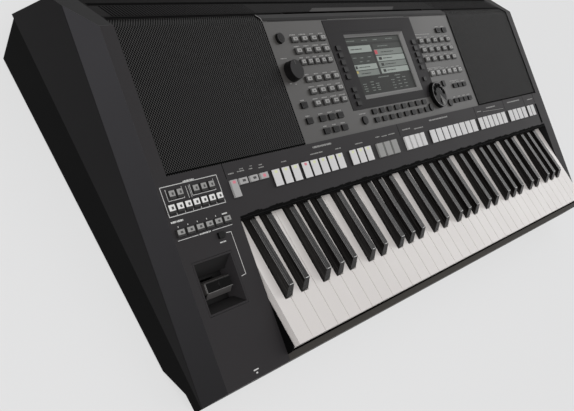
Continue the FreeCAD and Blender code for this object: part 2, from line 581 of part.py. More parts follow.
frame_top = "(panel_top - window_depth)"
frame_block = box("frame_block", ("0 - window_half + fit_gap", "window_low + fit_gap", "panel_under - 2"),
                  ("2 * (window_half - fit_gap)", "window_high - window_low - 2 * fit_gap",
                   frame_top + " - panel_under + 2"))
frame_hole = box("frame_hole", ("window_border - window_half", "window_low + window_border", "0 - 40"),
                 ("2 * (window_half - window_border)", "window_high - window_low - 2 * window_border", "60"))
node(lay(group("display_frame", [cut("frame_done", frame_block, [frame_hole])]), STRIP), "display_frame")
glass = box("glass_block",
            ("0 - window_half + fit_gap", "window_low + fit_gap", "panel_under - 2 - display_depth"),
            ("2 * (window_half - fit_gap)", "window_high - window_low - 2 * fit_gap", "display_depth"))
raised = box("glass_raised", ("window_border - window_half + fit_gap", "window_low + window_border + fit_gap",
                              "panel_under - 3"),
             ("2 * (window_half - window_border - fit_gap)",
              "window_high - window_low - 2 * (window_border + fit_gap)",
              frame_top + " - glass_depth - panel_under + 3"))
node(lay(group("display_panel", [fuse("display_solid", [glass, raised])]), STRIP), "display_panel")

board_plate = box("panel_board_plate", ("0 - panel_half + panel_flange + 1", "panel_low + ledge + 1",
                                        "0 - panel_board_drop - board_sheet"),
                  ("2 * (panel_half - panel_flange - 1)", "panel_high - panel_low - 2 * ledge - 2",
                   "board_sheet"))
board_gap = box("panel_board_gap", ("0 - window_half - 2", "window_low - 2", "0 - 40"),
                ("2 * window_half + 4", "window_high - window_low + 4", "60"))
board_studs = [box("board_stud_%d_%d" % (i, j), (x, v, "0 - panel_board_drop - 0.5"),
                   ("5", "5", "panel_board_drop - panel_drop - panel_sheet + 0.5"))
               for i, x in enumerate(("0 - panel_half + panel_flange + 4", "panel_half - panel_flange - 9"))
               for j, v in enumerate((up(592.76), up(719.46)))]
panel_board = cut("panel_board", fuse("panel_board_solid", [board_plate] + board_studs), [board_gap])
switch_board_low = "0 - strip_board_drop - board_sheet"
strip_board = box("strip_board_plate", ("keys_x - 2", up(373.3), switch_board_low),
                  ("key_run - 8", up(63.35), "board_sheet"))
cheek_board = box("cheek_board_plate", ("0 - half_width + 12", up(294.12), switch_board_low),
                  ("left_cheek - 25.2", up(144.8), "board_sheet"))
stud_height = "strip_board_drop - case_wall + 0.5"
stud_low = "0 - strip_board_drop - 0.5"
strip_studs = [box("strip_stud_%d" % i, (x, up(429.86), stud_low), ("3", "2.5", stud_height))
               for i, x in enumerate(("keys_x + 10", "0", "keys_end - 30"))]
cheek_studs = [box("cheek_stud_%d" % i, (x, up(357.47), stud_low), ("3", "3", stud_height))
               for i, x in enumerate(("0 - half_width + 15", "keys_x - 19.2"))]
switch_boards = [fuse("strip_board", [strip_board] + strip_studs),
                 fuse("cheek_board", [cheek_board] + cheek_studs)]
node(lay(group("control_boards", [panel_board] + switch_boards), STRIP), "control_boards")

# Rotary controls with their knobs


def rotary(name, at, top):
    """Control body on the panel board with a shaft up into the knob."""
    body = box(name + "_body", ("%s - control_body / 2" % at[0], "%s - control_body / 2" % at[1],
                                "0 - panel_board_drop"), ("control_body", "control_body", "7"))
    shaft = rod(name + "_shaft", (*at, "0 - panel_board_drop + 1"), "shaft_radius",
                "panel_board_drop - 1 + " + top)
    return fuse(name, [body, shaft])


controls = [rotary("volume_control", KNOB_AT, "3"), rotary("dial_encoder", DIAL_AT, "1")]
node(lay(group("rotary_controls", controls), STRIP), "rotary_controls")


def knob(name, at, radius, height, top, extra):
    """Knob with a blind bore that runs over its shaft."""
    low = "(panel_top + 0.6)"
    body = cone(name + "_body", (*at, low), radius, radius + " - 0.8", height)
    bore = rod(name + "_bore", (*at, "0 - 10"), "shaft_radius + run_gap", "10 + %s + fit_gap" % top)
    return cut(name, body, [bore] + extra)


dimple = cone("dial_dimple", (DIAL_AT[0], DIAL_AT[1] + " - dial_radius / 2 - 1",
                              "panel_top + 0.6 + dial_height - 1.5"),
              "dimple_radius - 1.5", "dimple_radius + 0.5", "2")
node(lay(group("volume_knob", [knob("volume_cap", KNOB_AT, "knob_radius", "knob_height", "3", [])]), STRIP),
     "volume_knob")
node(lay(group("data_dial", [knob("dial_cap", DIAL_AT, "dial_radius", "dial_height", "1", [dimple])]), STRIP),
     "data_dial")

# Joystick: recess, gimbal ring and lever

STICK = ("stick_at", "stick_v")
recess_outer = frustum("recess_outer", STICK, "recess_x / 2", "recess_v / 2", "0", "0 - recess_depth",
                       "recess_draft")
recess_inner = frustum("recess_inner", STICK, "(recess_x / 2 - recess_wall)", "(recess_v / 2 - recess_wall)",
                       "0.01", "0 - recess_depth - 0.01", "recess_draft")
lugs = [box("stick_lug_%d" % i, (x, "stick_v - 6", "0 - stick_axis - 5"),
            ("lug_sheet", "12", "stick_axis - recess_depth + 7"))
        for i, x in enumerate(("stick_at - gimbal_x - lug_sheet - lug_gap", "stick_at + gimbal_x + lug_gap"))]
floor_outer = box("recess_floor",
                  ("stick_at - recess_x / 2 + recess_draft", "stick_v - recess_v / 2 + recess_draft",
                   "0 - recess_depth - recess_wall"),
                  ("recess_x - 2 * recess_draft", "recess_v - 2 * recess_draft", "recess_wall"))
floor_gap = box("recess_floor_gap",
                ("stick_at - gimbal_x - lug_gap", "stick_v - tilt_room", "0 - recess_depth - 10"),
                ("2 * (gimbal_x + lug_gap)", "2 * tilt_room", "20"))
lug_holes = [rod("lug_hole_%d" % i, (x, "stick_v", "0 - stick_axis"), "pin_radius + run_gap", "10", "X")
             for i, x in enumerate(("stick_at - gimbal_x - 6", "stick_at + gimbal_x - 4"))]
recess_shell = cut("recess_shell", recess_outer, [recess_inner])
housing_floor = cut("housing_floor", floor_outer, [floor_gap])
housing = cut("housing_done", fuse("housing_solid", [recess_shell, housing_floor] + lugs), lug_holes)
node(lay(group("joystick_housing", [housing]), STRIP), "joystick_housing")

ring_outer = box("ring_outer",
                 ("stick_at - gimbal_x", "stick_v - gimbal_v", "0 - stick_axis - gimbal_height / 2"),
                 ("2 * gimbal_x", "2 * gimbal_v", "gimbal_height"))
ring_inner = box("ring_inner",
                 ("stick_at - gimbal_x + gimbal_wall", "stick_v - gimbal_v + gimbal_wall", "0 - 60"),
                 ("2 * (gimbal_x - gimbal_wall)", "2 * (gimbal_v - gimbal_wall)", "60"))
ring_pins = [rod("ring_pin_%d" % i, (x, "stick_v", "0 - stick_axis"), "pin_radius", "3.5", "X")
             for i, x in enumerate(("stick_at - gimbal_x - 2.5", "stick_at + gimbal_x - 1"))]
ring_bores = rod("ring_bores", ("stick_at", "stick_v - gimbal_v - 1", "0 - stick_axis"), "pin_radius + run_gap",
                 "2 * gimbal_v + 2", "Y")
ring_frame = cut("ring_frame", ring_outer, [ring_inner])
ring = cut("ring_done", fuse("ring_solid", [ring_frame] + ring_pins), [ring_bores])
node(lay(group("joystick_gimbal", [ring]), STRIP), "joystick_gimbal")

stem = box("stick_stem", ("stick_at - stem_side / 2", "stick_v - stem_side / 2", "0 - stick_axis - 4"),
           ("stem_side", "stem_side", "stick_axis - stick_top"))
paddle_points = [("stick_v - stick_thick / 2", "0 - stick_top - stick_plate"),
                 ("stick_v + stick_thick / 2", "0 - stick_top - stick_plate"),
                 ("stick_v + stick_thick / 2 - 1", "0 - stick_top - 1"), ("stick_v", "0 - stick_top"),
                 ("stick_v - stick_thick / 2 + 1", "0 - stick_top - 1")]
paddle = prism("stick_paddle", "X", paddle_points, "stick_at - stick_half", "2 * stick_half")
stick_pin = rod("stick_pin", ("stick_at", "stick_v - gimbal_v + 0.5", "0 - stick_axis"), "pin_radius",
                "2 * gimbal_v - 1", "Y")
node(lay(group("joystick_lever", [fuse("lever_solid", [stem, paddle, stick_pin])]), STRIP), "joystick_lever")

# Key bed: chassis, pivot rod, felt, contact board, rubber contacts and return springs

bed_points = [("keys_y + chassis_front", "chassis_top - chassis_sheet"),
              ("keys_y + chassis_back", "chassis_top - chassis_sheet"),
              ("keys_y + chassis_back", "key_top + spring_gap"),
              ("keys_y + chassis_back - fin_sheet", "key_top + spring_gap"),
              ("keys_y + chassis_back - fin_sheet", "chassis_top"),
              ("pivot_y + fin_sheet / 2", "chassis_top"), ("pivot_y + fin_sheet / 2", "pivot_z - pivot_radius"),
              ("pivot_y - fin_sheet / 2", "pivot_z - pivot_radius"), ("pivot_y - fin_sheet / 2", "chassis_top"),
              ("keys_y + chassis_front", "chassis_top")]
node(prism("key_chassis", "X", bed_points, "keys_x", "key_run"), "key_chassis")
node(rod("key_pivot_rod", ("keys_x", "pivot_y", "pivot_z"), "pivot_radius", "key_run", "X"), "key_pivot_rod")
node(box("key_felt", ("keys_x", "keys_y + felt_run", "chassis_top"), ("key_run", "felt_length", "felt_height")),
     "key_felt")
node(box("contact_board", ("keys_x", "keys_y + contact_run", "chassis_top"),
         ("key_run", "contact_length", "board_sheet")), "contact_board")

SHARPS = {"c_sharp": ("c", 0, 1), "d_sharp": ("c", 0, 3), "f_sharp": ("f", 3, 1), "g_sharp": ("f", 3, 3),
          "a_sharp": ("f", 3, 5)}
SHARP_PITCH = {"c": "(3 * natural / 5)", "f": "(4 * natural / 7)"}
NATURALS = {"c": (0, None, "c_sharp"), "d": (1, "c_sharp", "d_sharp"), "e": (2, "d_sharp", None),
            "f": (3, None, "f_sharp"), "g": (4, "f_sharp", "g_sharp"), "a": (5, "g_sharp", "a_sharp"),
            "b": (6, "a_sharp", None), "c_top": (35, None, None)}
OCTAVES = 5


def sharp_middle(name):
    """Middle of a sharp, from the left end of its octave."""
    half, start, step = SHARPS[name]
    return "(%d * natural + (%d + 0.5) * %s)" % (start, step, SHARP_PITCH[half])


def natural_edges(name):
    """Left and right edges of a natural at its head and at its tail."""
    place, left, right = NATURALS[name]
    head = ("%d * natural + key_gap / 2" % place, "%d * natural - key_gap / 2" % (place + 1))
    tail_left = sharp_middle(left) + " + sharp_width / 2 + sharp_gap" if left else head[0]
    tail_right = sharp_middle(right) + " - sharp_width / 2 - sharp_gap" if right else head[1]
    return head, (tail_left, tail_right)


tail_middles = {name: "((%s + %s) / 2)" % natural_edges(name)[1] for name in NATURALS}
tail_middles.update({name: sharp_middle(name) for name in SHARPS})
key_places = [(octave, name) for octave in range(OCTAVES) for name in tail_middles if name != "c_top"]
key_places.append((0, "c_top"))

rubber_base = box("rubber_base", ("keys_x", "keys_y + actuator_run", "chassis_top + board_sheet"),
                  ("key_run", "actuator_length", "dome_base"))
domes = []
fingers = []
for octave, name in key_places:
    middle = "keys_x + %d * octave_span + %s" % (octave, tail_middles[name])
    tag = "%s_%d" % (name, octave)
    domes.append(box("dome_" + tag, (middle + " - dome_size / 2",
                                     "keys_y + actuator_run + actuator_length / 2 - dome_size / 2",
                                     "chassis_top + board_sheet + dome_base - 0.5"),
                     ("dome_size", "dome_size", "dome_height - dome_base + 0.5")))
    fingers.append(box("finger_" + tag,
                       (middle + " - spring_finger / 2", "keys_y + chassis_back - fin_sheet - spring_reach",
                        "key_top + spring_gap"), ("spring_finger", "spring_reach + fin_sheet", "spring_sheet")))
node(fuse("rubber_contacts", [rubber_base] + domes), "rubber_contacts")
spring_back = box("spring_back", ("keys_x", "keys_y + chassis_back - fin_sheet", "key_top + spring_gap"),
                  ("key_run", "fin_sheet", "spring_sheet"))
node(fuse("key_springs", [spring_back] + fingers), "key_springs")


def body_sketch(body, plane, offset, outlines):
    """Sketch of closed outlines on an origin plane of a body, moved along the plane's normal."""
    sketch = body.newObject("Sketcher::SketchObject", "sketch")
    sketch.AttachmentSupport = [(next(f for f in body.Origin.OriginFeatures if f.Role == plane), "")]
    sketch.MapMode = "FlatFace"
    sketch.setExpression("AttachmentOffset.Base.z", expand(offset))
    for points in outlines:
        draw(sketch, points)
    return sketch


def rectangle(x, y):
    """Corners of a rectangle from its two ranges."""
    return [(x[0], y[0]), (x[1], y[0]), (x[1], y[1]), (x[0], y[1])]


def through(body, sketch):
    """Pocket from a sketch through everything below or behind it."""
    pocket = body.newObject("PartDesign::Pocket", "pocket")
    pocket.Profile = sketch
    pocket.Type = "ThroughAll"


def finish_key(body, tail):
    """Hollow the tail and notch it over the pivot rod; return the sketch of the hollows."""
    inner = (tail[0] + " + key_wall", tail[1] + " - key_wall")
    rooms = [rectangle(inner, ("sharp_front + key_wall", "actuator_run")),
             rectangle(inner, ("actuator_run + actuator_length", "key_length - tail_block"))]
    hollow = body_sketch(body, "XY_Plane", "0 - key_skin", rooms)
    through(body, hollow)
    notch = rectangle((tail[0] + " - 1", tail[1] + " + 1"),
                      ("pivot_run - pivot_radius - notch_gap", "pivot_run + pivot_radius + notch_gap"))
    through(body, body_sketch(body, "XY_Plane", "0 - pivot_drop + pivot_radius + notch_gap", [notch]))
    return hollow


def repeat_key(body, hollow):
    """Repeat a finished key in each octave."""
    pattern = body.newObject("PartDesign::LinearPattern", "octaves")
    pattern.TransformMode = "Whole shape"
    pattern.Direction = (hollow, ["H_Axis"])
    pattern.Mode = "Spacing"
    pattern.Occurrences = OCTAVES
    bind(pattern, Offset="octave_span")
    body.Tip = pattern
    return body


def natural_key(name):
    """White keys of one name: a wide head, a narrow tail and a hollow underside."""
    head, tail = natural_edges(name)
    body = add("PartDesign::Body", "key_" + name)
    body.AllowCompound = True
    step = "sharp_front - sharp_gap"
    outline = [(head[0], "0"), (head[1], "0"), (head[1], step), (tail[1], step), (tail[1], "key_length"),
               (tail[0], "key_length"), (tail[0], step), (head[0], step)]
    corners = [point for index, point in enumerate(outline) if index == 0 or point != outline[index - 1]]
    if tail[1] == head[1]:
        corners.remove((head[1], step))
    if tail[0] == head[0]:
        corners.remove((head[0], step))
    pad = body.newObject("PartDesign::Pad", "pad")
    pad.Profile = body_sketch(body, "XY_Plane", "0", [corners])
    pad.Reversed = True
    bind(pad, Length="key_height")
    room = rectangle((head[0] + " + key_wall", head[1] + " - key_wall"), ("key_wall", step + " - key_wall"))
    through(body, body_sketch(body, "XY_Plane", "0 - key_skin", [room]))
    return body, finish_key(body, tail)


def sharp_key(name):
    """Black keys of one name: a tapered top with a sloped nose over a hollow tail."""
    middle = sharp_middle(name)
    edges = (middle + " - sharp_width / 2", middle + " + sharp_width / 2")
    body = add("PartDesign::Body", "key_" + name)
    body.AllowCompound = True
    side = [("sharp_front", "0 - key_height"), ("sharp_front", "1"),
            ("sharp_front + sharp_slope", "sharp_height"),
            ("lip_run", "min(sharp_height - sharp_droop; lip_room - 1)"), ("lip_run + 4", "0"),
            ("key_length", "0"), ("key_length", "0 - key_height")]
    pad = body.newObject("PartDesign::Pad", "pad")
    pad.Profile = body_sketch(body, "YZ_Plane", edges[0], [side])
    bind(pad, Length="sharp_width")
    top = "sharp_height + 1"
    slants = [[(edges[0], "0"), (edges[0] + " + sharp_taper", top), (edges[0] + " - 1", top),
               (edges[0] + " - 1", "0")],
              [(edges[1], "0"), (edges[1] + " + 1", "0"), (edges[1] + " + 1", top),
               (edges[1] + " - sharp_taper", top)]]
    through(body, body_sketch(body, "XZ_Plane", "0", slants))
    return body, finish_key(body, edges)


first_keys = {name: natural_key(name) for name in NATURALS}
first_keys.update({name: sharp_key(name) for name in SHARPS})
doc.recompute()
for name, (body, hollow) in first_keys.items():
    if name not in ("c", "c_top"):
        node(lay(repeat_key(body, hollow), BED), "keys_" + name)
low_keys = repeat_key(*first_keys["c"])
node(lay(group("keys_c", [low_keys, first_keys["c_top"][0]]), BED), "keys_c")

# Boards in the lower case

main_plate = box("main_plate", ("0 - main_half", "board_y", "board_height"),
                 ("2 * main_half", "board_depth", "board_sheet"))
CHIPS = [("0 - 140", 30, "36", "36", "3"), ("0 - 70", 40, "24", "24", "3"), ("0 - 20", 30, "30", "14", "3"),
         ("0 - 20", 55, "30", "14", "3"), ("60", 35, "40", "12", "9"), ("120", 50, "22", "22", "14")]
chips = [box("chip_%d" % i, (x, "board_y + %d" % run, "board_height + board_sheet - 0.1"),
             (width, depth, height + " + 0.1"))
         for i, (x, run, width, depth, height) in enumerate(CHIPS)]
node(fuse("main_board", [main_plate] + chips), "main_board")
amp_plate = box("amp_plate", ("amp_x", "board_y", "board_height"), ("amp_width", "board_depth", "board_sheet"))
sink_base = box("sink_base", ("amp_x + 40", "board_y + 60", "board_height + board_sheet - 0.1"),
                ("80", "40", "6"))
fins = [box("sink_fin_%d" % i, ("amp_x + 40 + %d" % (i * 9), "board_y + 60", "board_height + board_sheet + 4"),
            ("3", "40", "24")) for i in range(9)]
cans = [rod("capacitor_%d" % i, ("amp_x + %d" % run, "board_y + 25", "board_height + board_sheet - 0.1"),
            "9", "26") for i, run in enumerate((50, 75, 100))]
node(fuse("amplifier_board", [amp_plate, sink_base] + fins + cans), "amplifier_board")

# Sockets in the rear niche and the headphone socket in the front

JACKS_X = ["(niche_left + 20 + %d)" % (24 * i) for i in range(5)]
jack_z = "((niche_low + niche_high) / 2)"
niche_ports = []


def jack(name, place, sheet_size, nose_length):
    """Socket behind a plate whose outer face is at the place, with a nose through it and a bore for a plug."""
    block = box(name + "_block", ("0 - jack_side / 2", "0 - plug_depth - 4", "0 - jack_side / 2"),
                ("jack_side", "plug_depth + 4 - %s - 0.1" % sheet_size, "jack_side"))
    nose = rod(name + "_nose", ("0", "0 - %s - 2" % sheet_size, "0"), "jack_radius",
               "%s + 2 + %s" % (sheet_size, nose_length), "Y")
    bore = rod(name + "_bore", ("0", nose_length + " - plug_depth", "0"), "plug_radius", "plug_depth + 1", "Y")
    return lay(cut(name, fuse(name + "_solid", [block, nose]), [bore]), place)


jacks = []
for i, x in enumerate(JACKS_X):
    at = "placement(vector(%s; niche_y; %s); %s)" % (x, jack_z, TURN["Z"])
    jacks.append(jack("jack_%d" % i, at, "niche_wall", "jack_nose"))
    niche_ports.append(rod("jack_port_%d" % i, (x, "niche_y - 10", jack_z), "jack_radius + fit_gap", "20", "Y"))
node(group("audio_jacks", jacks), "audio_jacks")
FRONT_JACK = "placement(vector(phones_x - half_width; front; phones_z); rotation(vector(0; 0; 1); 180))"
node(jack("phones_jack", FRONT_JACK, "case_wall", "0"), "phones_jack")

data_sockets = []
for i, offset in enumerate((145, 175)):
    x = "niche_left + %d" % offset
    shell = rod("round_socket_%d" % i, (x, "niche_y - 14", jack_z), "9", "16", "Y")
    well = rod("round_socket_well_%d" % i, (x, "niche_y - 6", jack_z), "7", "20", "Y")
    data_sockets.append(cut("data_socket_%d" % i, shell, [well]))
    niche_ports.append(rod("round_port_%d" % i, (x, "niche_y - 10", jack_z), "9 + fit_gap", "20", "Y"))
for i, (offset, width, height) in enumerate(((205, 13, 12), (230, 15, 8))):
    x = "niche_left + %d" % offset
    shell = box("square_socket_%d" % i,
                (x + " - %s / 2" % width, "niche_y - 14", jack_z + " - %s / 2" % height),
                (str(width), "16", str(height)))
    well = box("square_socket_well_%d" % i, (x + " - %s / 2 + 1" % width, "niche_y - 8",
                                             jack_z + " - %s / 2 + 1" % height),
               ("%s - 2" % width, "20", "%s - 2" % height))
    data_sockets.append(cut("data_socket_%d" % (i + 2), shell, [well]))
    niche_ports.append(box("square_port_%d" % i, (x + " - %s / 2 - fit_gap" % width, "niche_y - 10",
                                                  jack_z + " - %s / 2 - fit_gap" % height),
                           ("%s + 2 * fit_gap" % width, "20", "%s + 2 * fit_gap" % height)))
node(group("data_sockets", data_sockets), "data_sockets")
inlet_shell = box("inlet_shell", ("niche_right - 52", "niche_y - 24", jack_z + " - 12"), ("30", "27", "24"))
inlet_well = box("inlet_well", ("niche_right - 49", "niche_y - 15", jack_z + " - 9"), ("24", "30", "18"))
niche_ports.append(box("inlet_port", ("niche_right - 52 - fit_gap", "niche_y - 10", jack_z + " - 12 - fit_gap"),
                       ("30 + 2 * fit_gap", "20", "24 + 2 * fit_gap")))
node(cut("power_inlet", inlet_shell, [inlet_well]), "power_inlet")
jack_plate = box("jack_plate",
                 ("niche_left - niche_wall", "niche_y - niche_wall", "niche_low - niche_wall"),
                 ("niche_right - niche_left + 2 * niche_wall", "niche_wall",
                  "niche_high - niche_low + 2 * niche_wall"))
node(cut("rear_jack_panel", jack_plate, niche_ports), "rear_jack_panel")
linings = [box("lining_long_%d" % i, ("niche_left - niche_wall", "niche_y", low),
               ("niche_right - niche_left + 2 * niche_wall", "niche_depth", "niche_wall"))
           for i, low in enumerate(("niche_low - niche_wall", "niche_high"))]
linings += [box("lining_end_%d" % i, (low, "niche_y", "niche_low"),
                ("niche_wall", "niche_depth", "niche_high - niche_low"))
            for i, low in enumerate(("niche_left - niche_wall", "niche_right"))]
trimmed = [common(strip.Name + "_trimmed", [upper_outer, strip]) for strip in linings]
node(group("niche_lining", trimmed), "niche_lining")

doc.recompute()
faults = [item.Name for item in doc.Objects if {"Invalid", "Error"} & set(item.State)]
for piece in nodes:
    shape = piece.Shape
    if shape.isNull() or not shape.isValid() or not shape.Solids:
        faults.append(piece.Label)
if faults:
    raise RuntimeError("Failed objects: " + ", ".join(faults))
os.makedirs("parts", exist_ok=True)
for piece in nodes:
    piece.Shape.exportStep(os.path.join("parts", piece.Label + ".step"))
    print("%-24s %3d solids %12.1f mm3" % (piece.Label, len(piece.Shape.Solids), piece.Shape.Volume))
print(len(nodes), "nodes")
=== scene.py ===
"""Looks of the arranger keyboard: finishes, print, screen picture, trim, stage, light and camera.

Plane coordinates are in millimetres: x along the keys, v up a sloping plane and w out of it.
"""
from __future__ import annotations

import logging
import math
from dataclasses import dataclass, field
from enum import Enum
from typing import Any, Sequence

import bpy
from mathutils import Matrix, Vector


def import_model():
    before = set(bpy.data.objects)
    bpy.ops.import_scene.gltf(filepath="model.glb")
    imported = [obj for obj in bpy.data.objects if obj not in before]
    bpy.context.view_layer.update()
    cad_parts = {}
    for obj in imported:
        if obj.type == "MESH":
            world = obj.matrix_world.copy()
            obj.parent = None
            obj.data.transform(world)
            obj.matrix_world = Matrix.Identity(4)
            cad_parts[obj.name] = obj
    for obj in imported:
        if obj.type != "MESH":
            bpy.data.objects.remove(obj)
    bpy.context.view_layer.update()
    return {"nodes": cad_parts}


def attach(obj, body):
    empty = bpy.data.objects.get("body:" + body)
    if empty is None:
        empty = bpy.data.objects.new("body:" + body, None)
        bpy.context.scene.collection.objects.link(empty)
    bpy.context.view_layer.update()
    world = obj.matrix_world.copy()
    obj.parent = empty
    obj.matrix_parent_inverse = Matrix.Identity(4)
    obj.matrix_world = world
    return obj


LOG = logging.getLogger("arranger_keyboard")
MM = 0.001
Colour = tuple[float, float, float]
Point = tuple[float, float]
Spot = tuple[float, float, float]
Limits = tuple[float, float, float, float]


def tone(red: float, green: float, blue: float) -> Colour:
    """Turn display values from 0 to 255 into a linear colour.

    Args:
        red: Red as a display shows it.
        green: Green as a display shows it.
        blue: Blue as a display shows it.

    Returns:
        The linear colour.
    """
    def linear(value: float) -> float:
        """Undo the display curve of one channel."""
        share = value / 255
        return share / 12.92 if share <= 0.04045 else ((share + 0.055) / 1.055) ** 2.4
    return linear(red), linear(green), linear(blue)


def arc(middle: Point, radius: float, turns: Sequence[float]) -> list[Point]:
    """Return the points of a circle at some angles in degrees."""
    return [(middle[0] + radius * math.cos(math.radians(turn)),
             middle[1] + radius * math.sin(math.radians(turn))) for turn in turns]


@dataclass(frozen=True)
class Plane:
    """Plane across the keyboard that slopes up towards the back.

    Attributes:
        y: Where the plane's v starts, in millimetres.
        z: Height of the plane there.
        angle: Slope in degrees.
    """

    y: float
    z: float
    angle: float

    def at(self, x: float, v: float, w: float = 0.0) -> Vector:
        """Place plane coordinates in the row frame.

        Args:
            x: Along the keys, in millimetres.
            v: Up the slope.
            w: Out of the plane.

        Returns:
            The point in metres.
        """
        turn = math.radians(self.angle)
        return Vector((x, self.y + v * math.cos(turn) - w * math.sin(turn),
                       self.z + v * math.sin(turn) + w * math.cos(turn))) * MM


STRIP = Plane(-212.0, 68.4, 12.82)
GRILLE = Plane(-11.0, 112.34, 10.29)
REAR = Plane(141.0, 148.73, -27.25)
LEVEL = Plane(0.0, 0.0, 0.0)
# Heights of tops above the strip plane, and the underside and top of print and grooves
STRIP_TOP = 2.2
PANEL_TOP = -2.3
PANEL_CAP_TOP = -0.1
GLASS_TOP = -6.7
PRINT = 0.07
PRINTED = (-0.1, PRINT)
GROOVED = (-0.2, PRINT)
DIAL = (114.2, 235.4)
# Pitches added to a repeating pattern so that its count stays above zero
AHEAD = 1000.0


class Value:
    """Socket of a node tree that Python's operators can work with."""

    def __init__(self, wiring: Wiring, socket: bpy.types.NodeSocket) -> None:
        """Keep the socket and the tree that it belongs to."""
        self.wiring = wiring
        self.socket = socket

    def __add__(self, other: Any) -> Value:
        """Sum."""
        return self.wiring.math("ADD", self, other)

    __radd__ = __add__

    def __sub__(self, other: Any) -> Value:
        """Difference."""
        return self.wiring.math("SUBTRACT", self, other)

    def __rsub__(self, other: Any) -> Value:
        """Difference from a number."""
        return self.wiring.math("SUBTRACT", other, self)

    def __mul__(self, other: Any) -> Value:
        """Product."""
        return self.wiring.math("MULTIPLY", self, other)

    __rmul__ = __mul__

    def __truediv__(self, other: Any) -> Value:
        """Quotient."""
        return self.wiring.math("DIVIDE", self, other)

    def __rtruediv__(self, other: Any) -> Value:
        """Quotient of a number."""
        return self.wiring.math("DIVIDE", other, self)

    def __gt__(self, other: Any) -> Value:
        """One where this is larger."""
        return self.wiring.math("GREATER_THAN", self, other)

    def __lt__(self, other: Any) -> Value:
        """One where this is smaller."""
        return self.wiring.math("LESS_THAN", self, other)


class Wiring:
    """Node tree that is built from expressions."""

    def __init__(self, tree: bpy.types.NodeTree) -> None:
        """Empty the tree."""
        self.tree = tree
        tree.nodes.clear()

    def add(self, kind: str, settings: dict[str, Any] | None = None,
            inputs: dict[Any, Any] | None = None) -> bpy.types.Node:
        """Add any node.

        Args:
            kind: The node's type.
            settings: Properties, which are set first.
            inputs: Values or links of its sockets, by name or number.

        Returns:
            The node.
        """
        made = self.tree.nodes.new(kind)
        for name, value in (settings or {}).items():
            setattr(made, name, value)
        for key, value in (inputs or {}).items():
            self.feed(made.inputs[key], value)
        return made

    def node(self, kind: str, settings: dict[str, Any] | None = None,
             inputs: dict[Any, Any] | None = None, out: Any = 0) -> Value:
        """Add any node and return one of its outputs."""
        return Value(self, self.add(kind, settings, inputs).outputs[out])

    def feed(self, socket: bpy.types.NodeSocket, value: Any) -> None:
        """Link a socket or set its value.

        Args:
            socket: The input to feed.
            value: A Value to link, or a number, colour or vector to set.
        """
        if isinstance(value, Value):
            self.tree.links.new(value.socket, socket)
        elif socket.type == "RGBA":
            socket.default_value = (*value, 1.0) if len(value) == 3 else value
        else:
            socket.default_value = value

    def math(self, operation: str, *values: Any) -> Value:
        """Add a Math node."""
        return self.node("ShaderNodeMath", {"operation": operation}, dict(enumerate(values)))

    def blend(self, factor: Any, low: Any, high: Any) -> Value:
        """Mix two colours by the share of the second."""
        return self.node("ShaderNodeMix", {"data_type": "RGBA"}, {0: factor, 6: low, 7: high}, 2)

    def scale(self, colour: Any, factor: Any) -> Value:
        """Multiply each channel of a colour."""
        return self.node("ShaderNodeVectorMath", {"operation": "SCALE"}, {0: colour, "Scale": factor})

    def rise(self, value: Value, low: float, high: float, start: float = 0.0) -> Value:
        """Rise from a start to one between two limits of a value."""
        return self.node("ShaderNodeMapRange", inputs={"Value": value, "From Min": low, "From Max": high,
                                                       "To Min": start})

    def backdrop_rays(self) -> Value:
        """Find the rays that show the backdrop: from the camera, off a gloss or through glass.

        Returns:
            One for those rays.
        """
        rays = self.add("ShaderNodeLightPath").outputs
        camera, glossy, clear = (Value(self, rays["Is %s Ray" % kind])
                                 for kind in ("Camera", "Glossy", "Transmission"))
        return self.math("MAXIMUM", self.math("MAXIMUM", camera, glossy), clear)


class Shader(Wiring):
    """Material with one Principled surface."""

    def __init__(self, name: str) -> None:
        """Start a material.

        Args:
            name: The material's name.
        """
        self.material = bpy.data.materials.new(name)
        self.material.use_nodes = True
        super().__init__(self.material.node_tree)
        self.surface = self.add("ShaderNodeBsdfPrincipled")
        self.output = self.add("ShaderNodeOutputMaterial",
                               inputs={"Surface": Value(self, self.surface.outputs[0])})

    def cover(self, surface: Value) -> None:
        """Show another surface instead."""
        self.feed(self.output.inputs["Surface"], surface)

    def place(self) -> Value:
        """Return the object's own coordinates in metres."""
        return self.node("ShaderNodeTexCoord", out="Object")

    def axes(self) -> tuple[Value, ...]:
        """Split the object's own coordinates into x, y and z in millimetres."""
        split = self.add("ShaderNodeSeparateXYZ", inputs={0: self.place()})
        return tuple(Value(self, socket) / MM for socket in split.outputs)

    def on_strip(self) -> tuple[Value, Value]:
        """Work out the place on the strip plane.

        Returns:
            The distance up the plane and the height above it, in millimetres.
        """
        _, y, z = self.axes()
        run, height, turn = y - STRIP.y, z - STRIP.z, math.radians(STRIP.angle)
        return (run * math.cos(turn) + height * math.sin(turn),
                height * math.cos(turn) - run * math.sin(turn))

    def noise(self, scale: float, detail: float = 2.0, stretch: Spot = (1.0, 1.0, 1.0)) -> Value:
        """Add a noise pattern in the object's coordinates.

        Args:
            scale: Waves per metre.
            detail: Octaves.
            stretch: Scale of each axis.

        Returns:
            The pattern from 0 to 1.
        """
        place = self.node("ShaderNodeMapping", inputs={"Vector": self.place(), "Scale": stretch})
        return self.node("ShaderNodeTexNoise", inputs={"Vector": place, "Scale": scale, "Detail": detail})

    def bump(self, height: Value, strength: float, distance: float) -> None:
        """Give the surface a relief.

        Args:
            height: Pattern of the relief.
            strength: How much of it shows.
            distance: Depth in metres.
        """
        self.set(Normal=self.node("ShaderNodeBump", inputs={"Height": height, "Strength": strength,
                                                            "Distance": distance}))

    def set(self, **sockets: Any) -> None:
        """Feed sockets of the surface by name, with underscores for spaces."""
        for name, value in sockets.items():
            self.feed(self.surface.inputs[name.replace("_", " ")], value)


